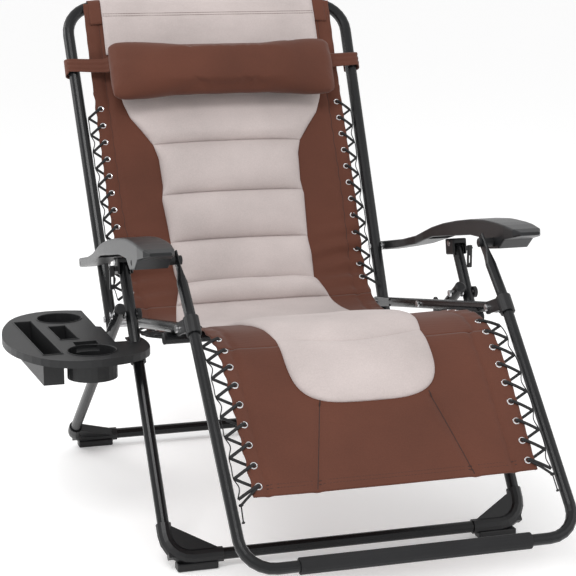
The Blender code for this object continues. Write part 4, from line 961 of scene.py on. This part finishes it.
def inflate(thing, voxel, pressure, cap, frames=20):
    """Swells a closed shape like a stuffed cushion with cloth simulation, then keeps the result."""
    remesh = thing.modifiers.new("remesh", "REMESH")
    remesh.mode = "VOXEL"
    remesh.voxel_size = voxel
    apply_modifiers(thing)
    rest = np.array([v.co for v in thing.data.vertices], float)
    cloth = thing.modifiers.new("cloth", "CLOTH")
    settings = cloth.settings
    settings.use_pressure = True
    settings.uniform_pressure_force = pressure
    settings.effector_weights.gravity = 0.0
    settings.tension_stiffness = 12
    settings.compression_stiffness = 12
    settings.bending_stiffness = 0.6
    settings.quality = 6
    cloth.point_cache.frame_start = 1
    cloth.point_cache.frame_end = frames + 1
    scene = bpy.context.scene
    for number in range(1, frames + 1):
        scene.frame_set(number)
        bpy.context.view_layer.update()
    graph = bpy.context.evaluated_depsgraph_get()
    shaped = bpy.data.meshes.new_from_object(thing.evaluated_get(graph))
    moved = np.array([v.co for v in shaped.vertices], float)
    step = moved - rest
    size = np.linalg.norm(step, axis=1)
    limit = np.minimum(1.0, cap / np.maximum(size, 1e-9))
    placed = rest + step * limit[:, None]
    thing.modifiers.clear()
    thing.data.vertices.foreach_set("co", placed.astype(np.float32).ravel())
    thing.data.update()
    bpy.data.meshes.remove(shaped)
    scene.frame_set(1)


def apply_modifiers(thing):
    """Keeps what the modifiers make as the object's own mesh."""
    bpy.context.view_layer.update()
    graph = bpy.context.evaluated_depsgraph_get()
    made = bpy.data.meshes.new_from_object(thing.evaluated_get(graph))
    thing.modifiers.clear()
    old = thing.data
    thing.data = made
    made.name = thing.name
    bpy.data.meshes.remove(old)


def make_pillow():
    low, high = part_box("headrest_pillow")
    drop = BACK_UP * PILLOW_DROP
    vertices, faces, centre = rounded_pillow(low - drop, high - drop)
    pillow = mesh_object("pillow", vertices, faces, MATERIALS["sling_fabric"])
    inflate(pillow, 0.005, 4.0, 0.012)
    length = (high.x - low.x) / 2
    mesh = pillow.data
    for vertex in mesh.vertices:
        offset = vertex.co - centre
        x = offset.x / length
        up = offset.dot(BACK_UP)
        end = max(0.0, (abs(x) - 0.80) / 0.20)
        folds = noise.noise(Vector((offset.x * 8.0, up * 60.0, 0.5)))
        under = max(0.0, -up / 0.08)
        ripples = math.sin(offset.x * 95 + 4 * noise.noise(Vector((offset.x * 5, up * 8, 1.0))))
        push = 0.0026 * end * folds + 0.0016 * under * under * ripples
        vertex.co += BACK_FACE * push
    smooth = pillow.modifiers.new("smooth", "SUBSURF")
    smooth.levels = 1
    smooth.render_levels = 1
    mesh.shade_smooth()
    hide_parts("headrest_pillow")
    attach(pillow, "pillow")
    return pillow


def make_straps():
    """Soft straps that pull from the pillow's ends round the back tubes."""
    for sign, side in ((1, "left"), (-1, "right")):
        node = f"pillow_strap_{side}"
        pillow_low, pillow_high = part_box("headrest_pillow")
        tube = back_half_at(STRAP_ALONG)
        centre = back_point(STRAP_ALONG) + LATERAL * (sign * tube)
        path = []
        end_x = (pillow_high.x if sign > 0 else pillow_low.x) - sign * 0.010
        start = back_point(0.561, 0.040)
        start.x = end_x
        path.append(start)
        path.append(start + LATERAL * (sign * 0.014) - BACK_FACE * 0.008)
        for step in range(11):
            angle = math.radians(62 - 19.0 * step)
            side_way = LATERAL * (sign * math.cos(angle) * STRAP_REACH)
            path.append(centre + side_way + BACK_FACE * (math.sin(angle) * STRAP_REACH))
        path = smooth_curve(path, 3)
        vertices = []
        columns = 12
        for index, point in enumerate(path):
            t = index / (len(path) - 1)
            half = STRAP_WIDTH / 2 - 0.003 * math.exp(-(((t - 0.18) / 0.14) ** 2))
            ahead = path[min(index + 1, len(path) - 1)]
            behind = path[max(index - 1, 0)]
            normal = (ahead - behind).normalized().cross(BACK_UP).normalized()
            for column in range(columns + 1):
                w = -1 + 2 * column / columns
                pucker = 0.0009 * math.sin(w * 9 + t * 5) * math.exp(-(((t - 0.1) / 0.2) ** 2))
                vertices.append(point + BACK_UP * (w * half) + normal * pucker)
        faces = grid_faces(len(path) - 1, columns)
        strap = mesh_object(f"strap_{side}", vertices, faces, MATERIALS["sling_fabric"])
        solid = strap.modifiers.new("thickness", "SOLIDIFY")
        solid.thickness = 0.0018
        solid.offset = 0.0
        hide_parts(node)
        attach(strap, "pillow")


# ---------------------------------------------------------------- small finishing pieces


def rim_path(outline, z):
    return [Vector((x, y, z)) for x, y in outline]


def make_tray_rims():
    """Thin raised beads round the tray's wells and slots."""
    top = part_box("tray")[1].z
    origin = LEG_BOLT - Vector((0.0, -0.025, 0.0))
    beads = []
    for cx, cy, radius in TRAY_WELLS:
        outline = []
        for step in range(48):
            angle = 2 * math.pi * step / 48
            across = origin.x + cx + radius * math.cos(angle)
            outline.append((across, origin.y + cy + radius * math.sin(angle)))
        beads.append(outline)
    for cx, cy, hx, hy in TRAY_SLOTS:
        corners = ((-hx, -hy), (hx, -hy), (hx, hy), (-hx, hy))
        outline = []
        for (x0, y0), (x1, y1) in zip(corners, corners[1:] + corners[:1]):
            for step in range(8):
                t = step / 8
                x = x0 + (x1 - x0) * t
                y = y0 + (y1 - y0) * t
                outline.append((origin.x + cx + x + TRAY_SLOT_SLANT * y, origin.y + cy + y))
        beads.append(outline)
    data = bmesh.new()
    for outline in beads:
        tube_into(data, rim_path(outline, top + 0.0001), 0.0013, 8, closed=True)
    rims = bmesh_object("tray_rims", data, MATERIALS["tray_plastic"])
    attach(rims, "front_legs")


# ---------------------------------------------------------------- put together


def declare_soft():
    """Works out the widest and the mean half width of each cloth stretch, and does nothing more with them."""
    stretches = (
        ("back_cloth", 0.0, S_HIP),
        ("seat_cloth_rear", S_HIP, S_MID),
        ("seat_cloth_front", S_MID, S_SEAM),
        ("leg_cloth", S_SEAM, LENGTH),
    )
    for name, start, end in stretches:
        half = max(half_width(start + (end - start) * step / 40) for step in range(41))
        mean = sum(half_width(start + (end - start) * (step + 0.5) / 40) for step in range(40)) / 40


def attach_sling(pieces):
    for name in ("back_cloth", "back_quilt", "seat_cloth_rear", "seat_quilt_rear"):
        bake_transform(pieces[name])
    for name in ("seat_cloth_front", "seat_quilt_front", "leg_cloth", "leg_quilt"):
        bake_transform(pieces[name])
    declare_soft()
    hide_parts("back_sling")
    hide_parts("back_pad")
    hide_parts("seat_sling")
    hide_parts("seat_sling")
    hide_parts("seat_pad")
    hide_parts("seat_pad")
    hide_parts("leg_sling")


def make_camera():
    """A long lens from the front, a little to the sitter's right and above."""
    azimuth = math.radians(CAMERA_AZIMUTH)
    elevation = math.radians(CAMERA_ELEVATION)
    forward = Vector(
        (
            math.sin(azimuth) * math.cos(elevation),
            math.cos(azimuth) * math.cos(elevation),
            -math.sin(elevation),
        )
    )
    across, depth, height = CAMERA_TARGET
    target = LEG_BOLT + Vector((across, depth, height - LEG_BOLT.z))
    camera = bpy.data.cameras.new("camera")
    camera.lens = CAMERA_LENS
    camera.sensor_width = 36.0
    holder = bpy.data.objects.new("camera", camera)
    bpy.context.scene.collection.objects.link(holder)
    holder.location = target - forward * CAMERA_DISTANCE
    holder.rotation_euler = forward.to_track_quat("-Z", "Y").to_euler()
    bpy.context.scene.camera = holder


def area_light(name, place, target, size, power, colour=(1.0, 1.0, 1.0)):
    light = bpy.data.lights.new(name, "AREA")
    light.shape = "RECTANGLE"
    light.size = size[0]
    light.size_y = size[1]
    light.energy = power
    light.color = colour
    holder = bpy.data.objects.new(name, light)
    bpy.context.scene.collection.objects.link(holder)
    holder.location = place
    holder.rotation_euler = (Vector(target) - Vector(place)).to_track_quat("-Z", "Y").to_euler()


def make_studio():
    floor_material, _, _, shader = new_material("studio_floor", (0.93, 0.93, 0.93), 0.9)
    shader.inputs["Emission Color"].default_value = (1.0, 1.0, 1.0, 1.0)
    shader.inputs["Emission Strength"].default_value = 0.22
    size = 40.0
    floor = mesh_object(
        "studio_floor",
        [(-size, -size, -0.0005), (size, -size, -0.0005), (size, size, -0.0005), (-size, size, -0.0005)],
        [(0, 1, 2, 3)],
        floor_material,
        smooth=False,
    )
    world = bpy.data.worlds.new("studio")
    world.use_nodes = True
    world.node_tree.nodes["Background"].inputs["Color"].default_value = (1.0, 1.0, 1.0, 1.0)
    world.node_tree.nodes["Background"].inputs["Strength"].default_value = 0.80
    bpy.context.scene.world = world
    area_light("key", (-1.6, -2.4, 3.6), (0.1, 0.0, 0.4), (1.4, 1.4), 74)
    area_light("fill", (2.8, -2.2, 1.8), (0.1, 0.0, 0.4), (2.5, 2.5), 16)
    area_light("rim", (-2.6, 1.8, 2.4), (0.0, 0.0, 0.5), (1.4, 2.6), 40)
    bpy.context.scene.view_settings.view_transform = "Standard"


def main():
    dress_cad_nodes()
    make_camera()
    pieces = make_sling()
    attach_sling(pieces)
    for piece, body in make_seams():
        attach(piece, body)
    for piece in make_quilt_seams():
        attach(piece, "back")
    for piece in make_top_band():
        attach(piece, "back")
    for piece, body, node in make_lacing():
        if node:
            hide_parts(node)
        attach(piece, body)
    for piece, body in make_tails():
        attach(piece, body)
    make_pillow()
    make_straps()
    make_tray_rims()
    make_studio()


main()
